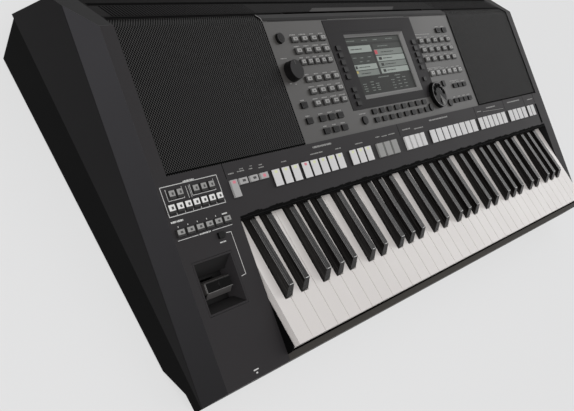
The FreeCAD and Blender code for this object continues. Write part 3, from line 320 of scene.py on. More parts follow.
class Finish:
    """Surface that makes its own material.

    Attributes:
        name: The material's name.
    """

    name: str

    def paint(self, shader: Shader) -> None:
        """Set the surface's sockets."""
        raise NotImplementedError

    def make(self) -> bpy.types.Material:
        """Build the material.

        Returns:
            The material.
        """
        shader = Shader(self.name)
        self.paint(shader)
        return shader.material


@dataclass(frozen=True)
class Moulded(Finish):
    """Moulded plastic with a fine spark-eroded grain.

    Attributes:
        name: The material's name.
        colour: Its colour.
        roughness: Mean roughness.
        grain: Depth of the grain in millimetres.
        pitch: Size of the grain in millimetres.
        drift: Share by which the colour drifts over the surface.
        sheen: Specular level, 0.5 for a bare polished plastic.
    """

    name: str
    colour: Colour
    roughness: float = 0.5
    grain: float = 0.03
    pitch: float = 0.7
    drift: float = 0.08
    sheen: float = 0.14

    def shade(self, shader: Shader, colour: Any) -> None:
        """Set a surface of this plastic in any colour.

        Args:
            shader: The material to set.
            colour: A colour or a pattern of colours.
        """
        cloud = shader.noise(9.0, 3.0)
        grain = shader.noise(1000 / self.pitch, 1.0)
        deep, pale = (shader.scale(colour, 1 + side * self.drift) for side in (-1, 1))
        shader.set(Base_Color=shader.blend(cloud, deep, pale),
                   Roughness=self.roughness - 0.06 + 0.12 * cloud, Specular_IOR_Level=self.sheen)
        shader.bump(grain, 0.5, self.grain * MM)

    def paint(self, shader: Shader) -> None:
        """Set the surface's sockets."""
        self.shade(shader, self.colour)


def cap(name: str, colour: Colour, roughness: float = 0.4) -> Moulded:
    """Return the smooth plastic of a small cap."""
    return Moulded(name, colour, roughness, 0.01, 0.5)


def recess(name: str, colour: Colour) -> Moulded:
    """Return the plastic of a recess of the case."""
    return Moulded(name, colour, 0.5, 0.02, 0.8)


@dataclass(frozen=True)
class OnPlastic(Finish):
    """Plastic whose colour changes from place to place.

    Attributes:
        plastic: The plastic in its main colour.
    """

    plastic: Moulded

    @property
    def name(self) -> str:
        """Return the plastic's name."""
        return self.plastic.name

    def colours(self, shader: Shader) -> Any:
        """Return the colour of each place."""
        raise NotImplementedError

    def paint(self, shader: Shader) -> None:
        """Set the surface's sockets."""
        self.plastic.shade(shader, self.colours(shader))


@dataclass(frozen=True)
class Zoned(OnPlastic):
    """Plastic buttons whose colour changes from row to row or along a row.

    Attributes:
        zones: Axis ("x", "v" or "w"), lower limit in millimetres and the colour from there on, in order.
    """

    zones: tuple[tuple[str, float, Colour], ...]

    def colours(self, shader: Shader) -> Any:
        """Return the colour of each zone.

        Args:
            shader: The material to set.

        Returns:
            The colours.
        """
        up, off = shader.on_strip()
        along = {"x": shader.axes()[0], "v": up, "w": off}
        colour: Any = self.plastic.colour
        for axis, limit, next_colour in self.zones:
            colour = shader.blend(along[axis] > limit, colour, next_colour)
        return colour


@dataclass(frozen=True)
class CaseShell(OnPlastic):
    """Case plastic with painted shade on the side walls, the rear slope and in the recesses, and painted
    light on the bevels.

    Attributes:
        painted_shade: Colour of the faces with painted shade.
        light: Colour of the painted light on the bevels at the back.
        wall: Distance of the side walls from the middle, in millimetres.
        bevel: The same for the bevels' upper edges.
        lean: How far a bevel spreads for each millimetre down.
        sunk: Height below which a face inside the bevels gets painted shade.
        fade: y between which the painted light on the bevels grows.
        front: Share of the painted light at the front end.
    """

    painted_shade: Colour
    light: Colour
    wall: float = 500.6
    bevel: float = 489.5
    lean: float = 0.3754
    sunk: float = -0.6
    fade: Point = (-212.0, 120.0)
    front: float = 0.3

    def colours(self, shader: Shader) -> Any:
        """Return the colour of each face.

        Args:
            shader: The material to set.

        Returns:
            The colours.
        """
        x, y, _ = shader.axes()
        across, height = shader.math("ABSOLUTE", x), shader.on_strip()[1]
        inside = across < self.bevel - self.lean * height
        # painted shade: the side walls, and faces inside the bevels that sink below the strip plane, take the
        # dark colour
        faces = shader.math("MAXIMUM", across > self.wall, (height < self.sunk) * inside)
        # painted light on the bevels, growing from the front towards the back
        bevel = shader.blend(shader.rise(y, *self.fade, self.front), self.painted_shade, self.light)
        return shader.blend(faces, shader.blend(inside, bevel, self.plastic.colour), self.painted_shade)


@dataclass(frozen=True)
class Hatched(OnPlastic):
    """Plastic with a band of fine slanting ribs along the rear slope.

    Attributes:
        rib: Colour of the ribs.
        band: Where the band starts and ends, in millimetres behind the ridge.
        pitch: Rib spacing in millimetres.
    """

    rib: Colour
    band: Point = (18.0, 37.0)
    pitch: float = 3.4

    def colours(self, shader: Shader) -> Any:
        """Return the colour of the ribs and the ground.

        Args:
            shader: The material to set.

        Returns:
            The colours.
        """
        x, y, _ = shader.axes()
        run = y - REAR.y
        ribs = shader.math("FRACT", (x + run * 1.5) / self.pitch + AHEAD) > 0.55
        inside = (run > self.band[0]) * (run < self.band[1])
        return shader.blend(ribs * inside, self.plastic.colour, self.rib)


@dataclass(frozen=True)
class NaturalPlastic(Finish):
    """Glossy warm white plastic of the natural keys.

    Attributes:
        colour: Its colour.
        shade: Colour of its slight clouding.
    """

    name = "natural_key"
    colour: Colour
    shade: Colour

    def paint(self, shader: Shader) -> None:
        """Set the surface's sockets.

        Args:
            shader: The material to set.
        """
        cloud = shader.noise(14.0, 2.0)
        shader.set(Base_Color=shader.blend(cloud, self.colour, self.shade), Roughness=0.26 + 0.1 * cloud,
                   Coat_Weight=0.25, Coat_Roughness=0.12)
        shader.bump(shader.noise(700.0, 1.0), 0.12, 0.00002)


@dataclass(frozen=True)
class SharpPlastic(Finish):
    """Black plastic of the sharp keys with fine streaks along the key.

    Attributes:
        colour: Its colour.
        streak: Colour of the streaks.
    """

    name = "sharp_key"
    colour: Colour
    streak: Colour

    def paint(self, shader: Shader) -> None:
        """Set the surface's sockets.

        Args:
            shader: The material to set.
        """
        streaks = shader.noise(900.0, 3.0, (1.0, 0.018, 1.0))
        line = shader.rise(streaks, 0.5, 0.8)
        shader.set(Base_Color=shader.blend(line, self.colour, self.streak), Roughness=0.24 + 0.2 * line,
                   Specular_IOR_Level=0.21)
        shader.bump(streaks, 0.3, 0.00006)


@dataclass(frozen=True)
class PunchedSheet(Finish):
    """Painted steel sheet with staggered round holes.

    Attributes:
        face: Colour of the sheet.
        hole: Colour seen in the holes.
        pitch: Hole spacing in millimetres.
        share: Hole radius as a share of the pitch.
        soft: Half width of a hole's edge as a share of the pitch.
    """

    name = "punched_sheet"
    face: Colour
    hole: Colour
    pitch: float = 3.5
    share: float = 0.31
    soft: float = 0.06

    def paint(self, shader: Shader) -> None:
        """Set the sheet's surface and mix the holes into it.

        Args:
            shader: The material to set.
        """
        x, y, _ = shader.axes()
        run = y / math.cos(math.radians(GRILLE.angle))

        def holes(shift: float) -> Value:
            """Distance to the nearest hole of one of the two square grids, in pitches."""
            sides = [shader.math("FRACT", value / self.pitch + shift) - 0.5 for value in (x, run)]
            return shader.math("SQRT", sides[0] * sides[0] + sides[1] * sides[1])
        gap = shader.math("MINIMUM", holes(AHEAD), holes(AHEAD + 0.5))
        edge = shader.rise(gap, self.share - self.soft, self.share + self.soft)
        shader.set(Base_Color=shader.scale(self.face, 0.85 + 0.3 * shader.noise(7.0, 2.0)), Roughness=0.55,
                   Specular_IOR_Level=0.5)
        shader.bump(edge, 0.4, 0.0002)
        hole = shader.node("ShaderNodeBsdfPrincipled", inputs={"Base Color": self.hole, "Roughness": 0.9,
                                                               "Specular IOR Level": 0.0})
        face = Value(shader, shader.surface.outputs[0])
        shader.cover(shader.node("ShaderNodeMixShader", inputs={0: edge, 1: hole, 2: face}))


@dataclass(frozen=True)
class Gloss(Finish):
    """Smooth glossy plastic, lacquer or glass with faint clouding.

    Attributes:
        name: The material's name.
        colour: Its colour.
        roughness: Mean roughness.
        metal: Metallic share.
        glow: Share of its colour that it gives off.
        sheen: Specular level, 0.5 for a bare polished plastic.
    """

    name: str
    colour: Colour
    roughness: float = 0.2
    metal: float = 0.0
    glow: float = 0.0
    sheen: float = 0.15

    def paint(self, shader: Shader) -> None:
        """Set the surface's sockets.

        Args:
            shader: The material to set.
        """
        cloud = shader.noise(60.0, 2.0)
        pale = tuple(min(1.0, value * 1.12) for value in self.colour)
        colour = shader.blend(cloud, self.colour, pale)
        shader.set(Base_Color=colour, Roughness=self.roughness + 0.06 * cloud, Metallic=self.metal,
                   Specular_IOR_Level=self.sheen)
        if self.glow:
            shader.set(Emission_Color=colour, Emission_Strength=self.glow)


@dataclass(frozen=True)
class Turned(Finish):
    """Black dial face with fine turned grooves about its middle.

    Attributes:
        middle: Dial centre on the strip plane, as x and v.
        colour: Its colour.
    """

    name = "turned_dial"
    middle: Point
    colour: Colour

    def paint(self, shader: Shader) -> None:
        """Set the surface's sockets.

        Args:
            shader: The material to set.
        """
        across = shader.axes()[0] - self.middle[0]
        along = shader.on_strip()[0] - self.middle[1]
        grooves = shader.math("SINE", shader.math("SQRT", across * across + along * along) * 2.6)
        pale = tuple(value * 1.6 for value in self.colour)
        shader.set(Base_Color=shader.blend(0.5 + 0.5 * grooves, self.colour, pale),
                   Roughness=0.3 + 0.05 * grooves, Specular_IOR_Level=0.07)
        shader.bump(grooves, 0.2, 0.00006)


class Ink(Enum):
    """Colours of print, lamps and small faces, and of painted highlights, reflections and shade."""

    # print, and painted highlights on the sharps' front edges
    WHITE = Gloss("print_white", tone(196, 195, 192), 0.5)
    # print, and a painted highlight along the panel's bent edge
    PALE = Gloss("print_pale", tone(142, 141, 138), 0.5)
    # dark joints and ribs, and painted shade in grooves, gaps and on the dial
    DARK = Gloss("groove_dark", tone(8, 8, 8), 0.9, sheen=0.02)
    GLYPH = Gloss("button_glyph", tone(70, 69, 68), 0.5)
    LIME = Gloss("lamp_lime", tone(206, 210, 166), 0.35, glow=0.04)
    ROSE = Gloss("lamp_rose", tone(206, 122, 134), 0.35, glow=0.04)
    GREY = Gloss("cap_grey", tone(42, 41, 41), 0.5, sheen=0.1)
    FRONT = Gloss("stick_front", tone(66, 64, 63), 0.45)
    TILE = Gloss("cap_tile", tone(146, 145, 142), 0.45)
    BRIGHT = Gloss("cap_bright", tone(168, 167, 164), 0.45)
    DIM = Gloss("cap_dim", tone(33, 32, 32), 0.45, sheen=0.1)
    # print on the caps, painted highlights along the panel's edges and a painted reflection on the dial
    MARK = Gloss("tile_mark", tone(92, 91, 89), 0.5)
    BLACK = Gloss("stick_black", tone(6, 6, 6), 0.35, sheen=0.05)
    # painted highlights on the sharps, the dial and the joystick
    EDGE = Gloss("polished_edge", tone(106, 104, 102), 0.3, sheen=0.3)
    SNOW = Gloss("cap_white", tone(220, 219, 215), 0.42)


class Screen(Enum):
    """Colours of the screen picture."""

    DARK = Gloss("screen_dark", tone(42, 43, 41), 0.3, glow=0.05, sheen=0.06)
    BAND = Gloss("screen_band", tone(56, 58, 55), 0.3, glow=0.05, sheen=0.06)
    MIST = Gloss("screen_mist", tone(106, 112, 106), 0.3, glow=0.05)
    PALE = Gloss("screen_pale", tone(138, 145, 138), 0.3, glow=0.05)
    RED = Gloss("screen_red", tone(170, 62, 70), 0.3, glow=0.08)
    AMBER = Gloss("screen_amber", tone(168, 152, 84), 0.3, glow=0.08)


class Paint:
    """Keeps one material for each finish."""

    _made: dict[Finish, bpy.types.Material] = {}

    @classmethod
    def of(cls, finish: Finish | Enum) -> bpy.types.Material:
        """Return the material of a finish, made once.

        Args:
            finish: A finish, or an Enum member that holds one.

        Returns:
            Its material.
        """
        finish = finish.value if isinstance(finish, Enum) else finish
        if finish not in cls._made:
            cls._made[finish] = finish.make()
        return cls._made[finish]


@dataclass
class Relief:
    """Mesh of low plates and strips that lie on one plane.

    Attributes:
        name: The piece's name.
        plane: Plane that it lies on.
        points: Corners in metres.
        faces: Corner numbers of each face.
    """

    name: str
    plane: Plane = STRIP
    points: list[Vector] = field(default_factory=list)
    faces: list[tuple[int, ...]] = field(default_factory=list)

    def stack(self, *rings: Sequence[Spot]) -> None:
        """Add a solid through rings of corners.

        Args:
            rings: x, v and w of each ring's corners from the lowest up, anticlockwise seen from outside.
        """
        first, count = len(self.points), len(rings[0])
        self.points += [self.plane.at(*corner) for ring in rings for corner in ring]
        last = len(self.points) - count
        self.faces.append(tuple(reversed(range(first, first + count))))
        for base in range(first, last, count):
            for index in range(count):
                after = (index + 1) % count
                self.faces.append((base + index, base + after, base + count + after, base + count + index))
        self.faces.append(tuple(range(last, last + count)))

    def slab(self, outline: Sequence[Point], low: float, high: float, chamfer: float = 0.0) -> None:
        """Add a closed plate.

        Args:
            outline: Corners as x and v, anticlockwise seen from outside.
            low: w of its underside.
            high: w of its top.
            chamfer: How far the top edge leans in towards the plate's middle.
        """
        middle = [sum(values) / len(outline) for values in zip(*outline)]

        def ring(w: float, inset: float) -> list[Spot]:
            """Move the outline's corners towards its middle.

            Args:
                w: Height of the corners.
                inset: How far they move.

            Returns:
                The corners.
            """
            corners = []
            for x, v in outline:
                run, rise = x - middle[0], v - middle[1]
                share = 1 - inset / (math.hypot(run, rise) or 1.0)
                corners.append((middle[0] + run * share, middle[1] + rise * share, w))
            return corners
        sides = [ring(low, 0.0), ring(high - chamfer, 0.0)]
        self.stack(*sides, *([ring(high, chamfer)] if chamfer else []))

    def bar(self, x: float, v: float, width: float, depth: float, low: float, high: float,
            chamfer: float = 0.0) -> None:
        """Add a rectangular plate.

        Args:
            x: Its middle along the keys.
            v: Its middle up the slope.
            width: Size along the keys.
            depth: Size up the slope.
            low: w of its underside.
            high: w of its top.
            chamfer: As for a slab.
        """
        a, b = width / 2, depth / 2
        self.slab([(x - a, v - b), (x + a, v - b), (x + a, v + b), (x - a, v + b)], low, high, chamfer)

    def disc(self, x: float, v: float, radius: float, low: float, high: float, chamfer: float = 0.0,
             sides: int = 48) -> None:
        """Add a round plate.

        Args:
            x: Its middle along the keys.
            v: Its middle up the slope.
            radius: Its radius.
            low: w of its underside.
            high: w of its top.
            chamfer: As for a slab.
            sides: Corners of its outline.
        """
        self.slab(arc((x, v), radius, [360 * index / sides for index in range(sides)]), low, high, chamfer)

    def line(self, path: Sequence[Point], width: float, low: float, high: float) -> None:
        """Add a strip along straight runs, one plate a run.

        Args:
            path: Ends of the runs as x and v.
            width: Width of the strip.
            low: w of its underside.
            high: w of its top.
        """
        for (x0, v0), (x1, v1) in zip(path, path[1:]):
            half = width / 2 / math.hypot(x1 - x0, v1 - v0)
            a, b = (x1 - x0) * half, (v1 - v0) * half
            self.slab([(x0 - a + b, v0 - b - a), (x1 + a + b, v1 + b - a), (x1 + a - b, v1 + b + a),
                       (x0 - a - b, v0 - b + a)], low, high)

    def sheet(self, corners: Sequence[Spot], thick: float) -> None:
        """Add a plate through four corners, anticlockwise, which goes down from them."""
        self.stack([(x, v, w - thick) for x, v, w in corners], corners)

    def folded(self, left: float, right: float, path: Sequence[tuple[Plane, float, float]],
               thick: float) -> None:
        """Add a sheet that is folded on its way to the back.

        Args:
            left: x of its left end.
            right: x of its right end.
            path: Plane, v and w of each fold, from the front to the back.
            thick: How far the sheet goes down from them.
        """
        first, count = len(self.points), len(path)
        for x in (left, right):
            for drop in (0.0, thick):
                self.points += [plane.at(x, v, w - drop) for plane, v, w in path]
        over, under, far_over, far_under = (first + count * index for index in range(4))
        end = count - 1
        for a, b in zip(range(end), range(1, count)):
            self.faces += [(over + a, far_over + a, far_over + b, over + b),
                           (under + a, under + b, far_under + b, far_under + a),
                           (over + a, over + b, under + b, under + a),
                           (far_over + a, far_under + a, far_under + b, far_over + b)]
        self.faces += [(over, under, far_under, far_over),
                       (over + end, far_over + end, far_under + end, under + end)]

    def words(self, start: float, end: float, v: float, depth: float, low: float, high: float) -> None:
        """Add a row of short bars of changing length.

        Args:
            start: x of its left end.
            end: x of its right end.
            v: Place up the slope.
            depth: Height of the bars.
            low: w of their underside.
            high: w of their top.
        """
        x, step = start, 0
        while x < end - 0.6:
            length = min(1.1 + 0.55 * ((step * 5 + int(abs(start))) % 4), end - x)
            self.bar(x + length / 2, v, length, depth * (1.0 if step % 3 else 0.8), low, high)
            x += length + (0.9 if (step * 3 + int(abs(end))) % 5 == 0 else 0.45)
            step += 1

    def build(self, finish: Finish | Enum, body: str = "case", slot: str = "case_charcoal") -> None:
        """Make the piece and fix it to a body.

        Args:
            finish: Its finish.
            body: Body that it moves with.
            slot: Material slot of the record; not used.
        """
        mesh = bpy.data.meshes.new(self.name)
        mesh.from_pydata(self.points, [], self.faces)
        mesh.validate()
        piece = bpy.data.objects.new(self.name, mesh)
        bpy.context.scene.collection.objects.link(piece)
        mesh.materials.append(Paint.of(finish))
        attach(piece, body)
        LOG.info("piece %s: %d faces on %s", self.name, len(self.faces), body)


CHARCOAL = Moulded("case_charcoal", tone(41, 39, 40), 0.55, 0.04, 0.9)
SIDE_BLACK = Moulded("case_black", tone(9, 9, 9), 0.6, 0.05, 1.1, sheen=0.03)
PANEL_GREY = Moulded("panel_grey", tone(57, 55, 53), 0.42, 0.02, 0.6, sheen=0.44)
BEZEL = Moulded("bezel_dark", tone(32, 30, 31), 0.42, 0.015, 0.5, sheen=0.06)
FRAME_GREY = cap("frame_grey", tone(122, 121, 119), 0.42)
GRILLE_SHEET = PunchedSheet(tone(14, 12, 11), tone(4, 4, 4))
NATURAL = NaturalPlastic(tone(220, 215, 210), tone(213, 207, 202))
SHARP = SharpPlastic(tone(12, 11, 10), tone(44, 42, 40))
WHITE_CAP = tone(211, 209, 207)
# body of the light grey caps, dark as painted shade round their tiles
LIGHT_CAP_SHADE = tone(54, 53, 52)
DARK_CAP = tone(15, 14, 14)
# painted shade on the lower sides of the tall white caps
PAINTED_CAP_SHADE = tone(40, 39, 38)


@dataclass
class CadDress:
    """Finishes and edge rounding of the solids that came with the frame.

    Attributes:
        nodes: The frame's nodes.
        finishes: Finish and edge radius in millimetres of each node.
        sharps: Sharp keys, which get painted highlights along their tops and front edges.
        naturals: Natural keys, which get a thin lip along their right edge.
        lip: Width of that lip and its length.
        last: x beyond which a key has no neighbour.
        widths: Limits of a natural's width, which tell it from a gap.
        flat_angle: Degrees below which two faces count as one.
        edge_angle: Degrees above which an edge is rounded.
        edge_steps: Facets of a rounded edge.
    """

    nodes: dict[str, bpy.types.Object]
    finishes: dict[str, tuple[Finish | Enum, float]] = field(default_factory=dict)
    sharps: str = "keys_c_sharp keys_d_sharp keys_f_sharp keys_g_sharp keys_a_sharp"
    naturals: str = "keys_c keys_d keys_e keys_f keys_g keys_a keys_b"
    lip: Point = (0.7, 44.0)
    last: float = 450.0
    widths: Point = (15.0, 30.0)
    flat_angle: float = 0.5
    edge_angle: float = 25.0
    edge_steps: int = 2

    def plan(self) -> None:
        """Choose each node's finish and edge radius."""
        ledge = Moulded("ledge_black", tone(14, 13, 13), 0.6, 0.05, 1.0, sheen=0.03)
        plans: dict[Finish | Enum, tuple[float, str]] = {
            # the case plastic with its painted shade and painted light colours
            CaseShell(CHARCOAL, tone(14, 13, 14), tone(52, 51, 53)): (0.6, "upper_case"),
            Hatched(ledge, tone(42, 41, 41)): (0.3, "rear_cover"),
            SIDE_BLACK: (0.9, "lower_case rear_jack_panel niche_lining"),
            Moulded("slip_charcoal", tone(56, 53, 49), 0.55, 0.04, 0.9): (0.6, "key_slip"),
            PANEL_GREY: (0.5, "centre_panel"),
            BEZEL: (0.4, "screen_bezel"),
            FRAME_GREY: (0.4, "display_frame"),
            Screen.DARK: (0.2, "display_panel"),
            GRILLE_SHEET: (0.4, "left_grille right_grille"),
            NATURAL: (0.22, self.naturals),
            SHARP: (0.9, self.sharps),
            # the tall white caps are dark below 1.6 mm, painted shade on their sides
            Zoned(cap("button_white", PAINTED_CAP_SHADE, 0.38), (("w", 1.6, WHITE_CAP),)):
                (1.0, "section_buttons registration_buttons part_buttons"),
            cap("switch_caps", tone(170, 168, 166)): (0.9, "style_switch_buttons"),
            Zoned(cap("start_caps", tone(146, 145, 142)), (("x", -35, WHITE_CAP),)):
                (1.0, "start_pad_buttons"),
            Zoned(cap("cheek_caps", tone(12, 12, 12)), (("v", 142, tone(48, 47, 46)),)):
                (0.6, "cheek_buttons"),
            cap("button_light", LIGHT_CAP_SHADE, 0.42): (0.8, "style_buttons setup_buttons"),
            cap("button_dark", DARK_CAP, 0.38):
                (0.8, "tempo_buttons soft_buttons tab_buttons standby_button"),
            Zoned(cap("voice_caps", LIGHT_CAP_SHADE), (("v", 329, DARK_CAP),)): (0.8, "voice_buttons"),
            Zoned(cap("effect_caps", DARK_CAP), (("v", 260, tone(88, 87, 85)),)): (0.8, "effect_buttons"),
            cap("dark_part", DARK_CAP):
                (0.8, "volume_knob joystick_lever joystick_gimbal audio_jacks phones_jack data_sockets "
                      "power_inlet"),
            Turned(DIAL, tone(6, 6, 6)): (0.8, "data_dial"),
            recess("recess_charcoal", tone(40, 38, 39)): (0.5, "joystick_housing"),
            Gloss("circuit_board", tone(24, 70, 44), 0.35):
                (0.2, "control_boards contact_board main_board amplifier_board"),
            Gloss("plated_steel", tone(170, 170, 168), 0.32, metal=1.0):
                (0.2, "key_chassis key_pivot_rod key_springs case_screws rotary_controls"),
            Moulded("soft_rubber", tone(22, 22, 22), 0.75, 0.06, 1.2): (0.4, "rubber_contacts rubber_feet"),
            Moulded("stop_felt", tone(120, 28, 32), 0.95, 0.3, 1.0): (0.8, "key_felt"),
            Moulded("speaker_paper", tone(26, 25, 25), 0.8, 0.1, 1.5): (0.3, "loudspeakers"),
        }
        for finish, (radius, names) in plans.items():
            self.finishes.update({name: (finish, radius) for name in names.split()})

    def build(self) -> None:
        """Dress every node."""
        self.plan()
        for name, (finish, radius) in self.finishes.items():
            node = self.nodes[name]
            node.data.materials.clear()
            node.data.materials.append(Paint.of(finish))
            flat = node.modifiers.new("flat_faces", "DECIMATE")
            flat.decimate_type = "DISSOLVE"
            flat.angle_limit = math.radians(self.flat_angle)
            edge = node.modifiers.new("soft_edges", "BEVEL")
            edge.width = radius * MM
            edge.segments = self.edge_steps
            edge.limit_method = "ANGLE"
            edge.angle_limit = math.radians(self.edge_angle)
            edge.harden_normals = True
            LOG.info("dressed %s", name)
        for name in self.sharps.split():
            self.draw_highlights(name)
        for name in self.naturals.split():
            self.add_lips(name)
        missing = set(self.nodes) - set(self.finishes)
        if missing:
            raise ValueError("No finish for " + ", ".join(sorted(missing)))

    def corners(self, name: str) -> list[Vector]:
        """Return the corners of a node in millimetres."""
        return [corner.co / MM for corner in self.nodes[name].data.vertices]

    def add_lips(self, name: str) -> None:
        """Add a thin lip along the right edge of each natural of one name, in the gap to the next key.

        Args:
            name: The node of the naturals.
        """
        corners = self.corners(name)
        top, front = max(corner.z for corner in corners), min(corner.y for corner in corners)
        sides = sorted({round(corner.x, 2) for corner in corners
                        if corner.z > top - 0.05 and corner.y < front + 6})
        lips = Relief(name + "_lips", Plane(0.0, top, 0.0))
        width, length = self.lip
        for left, right in zip(sides, sides[1:]):
            if self.widths[0] < right - left < self.widths[1] and right < self.last:
                x = right + 0.28
                lips.line([(x, front + 1.2), (x, front + length)], width, -1.6, -0.3)
        lips.build(NATURAL, name, "ivory_white")

    def draw_highlights(self, name: str) -> None:
        """Draw painted highlights along the top and on the front edge of each sharp of one name.

        Args:
            name: The node of the sharps.
        """
        corners = self.corners(name)
        front = max(corners, key=lambda corner: corner.z)
        back = max((corner for corner in corners if corner.y > front.y + 40), key=lambda corner: corner.z)
        sides = sorted({round(corner.x, 2) for corner in corners if corner.z > front.z - 0.05})
        run, fall = back.y - front.y, back.z - front.z
        top = Plane(front.y, front.z, math.degrees(math.atan2(fall, run)))
        long_highlights, bright = (Relief(name + kind, top) for kind in ("_rubbed", "_bright"))
        for left, right in zip(sides[::2], sides[1::2]):
            long_highlights.line([(left + 0.2, 0.5), (left, run - 4)], 0.5, -0.2, 0.06)
            long_highlights.line([(left + 2.6, 4), (left + 2.2, run - 9)], 0.3, -0.2, 0.05)
            long_highlights.line([(right - 2.2, 12), (right - 2.4, run - 20)], 0.25, -0.2, 0.05)
            bright.line([(left + 2.4, 0.5), (right - 1.2, 0.5)], 0.8, -0.3, 0.08)
            bright.line([(right - 1.2, 0.5), (right - 0.6, 1.4)], 0.6, -0.3, 0.08)
        # painted highlights: lines along each sharp's top and a bright line on its front edge
        long_highlights.build(Ink.EDGE, name, "key_black")
        bright.build(Ink.WHITE, name, "key_black")


@dataclass(frozen=True)
class Row:
    """Row of equal buttons.

    Attributes:
        x: Middle of the first one.
        v: Place up the slope.
        pitch: Step to the next.
        count: How many there are.
        width: Size along the keys.
        depth: Size up the slope.
    """

    x: float
    v: float
    pitch: float
    count: int
    width: float
    depth: float

    def middles(self) -> list[Point]:
        """Return the middle of each button."""
        return [(self.x + self.pitch * index, self.v) for index in range(self.count)]


SWITCH_ROWS = (Row(-383.5, 177.2, 0, 1, 10.5, 18.8), Row(-368.2, 183, 17.75, 3, 13, 6.8))
SECTION_ROWS = (Row(-312, 177, 18.1, 3, 13.3, 18.8), Row(-255.9, 177, 17.8, 5, 13.6, 18.8),
                Row(-154.5, 177, 17.8, 3, 14, 18.8))
CHEEK_ROWS = (Row(-474.2, 187.2, 11.2, 2, 8.6, 8.6), Row(-440.2, 187.2, 11.7, 3, 8.6, 8.6),
              Row(-480.3, 173.6, 11.57, 7, 9.4, 9), Row(-479.3, 149.2, 13.58, 6, 10.6, 7.4))
PANEL_ROWS: dict[str, tuple[Row, ...]] = {
    "style_buttons": (Row(-187, 336.2, 20, 4, 13.4, 7.4), Row(-187, 321, 20, 4, 13.4, 7.4),
                      Row(-185.6, 306.3, 14.4, 5, 10.6, 7.4)),
    "setup_buttons": (Row(-186.4, 284.2, 19.6, 4, 13.4, 7.4), Row(-186.4, 268.4, 19.6, 4, 13.4, 7.4),
                      Row(-186.8, 252.8, 19.8, 4, 13.4, 7.4)),
    "tempo_buttons": (Row(-214.2, 253.2, 0, 1, 11.6, 7.4), Row(-214.2, 233.3, 0, 1, 11.6, 7.4),
                      Row(-186.8, 233.3, 19.5, 3, 12, 7.4), Row(-186.8, 217, 19.6, 3, 12, 7.4)),
    "voice_buttons": (Row(190, 336, 20.3, 2, 13, 7.4), Row(124, 320.5, 21.9, 5, 13.6, 7.4),
                      Row(124, 306, 21.9, 5, 13.6, 7.4), Row(124, 291.3, 21.9, 5, 13.6, 7.4)),
    "effect_buttons": (Row(124.1, 269, 18.1, 6, 12.8, 8), Row(181, 245.2, 15.8, 3, 11, 6.4),
                       Row(167.4, 222, 16, 4, 11, 6.4)),
}


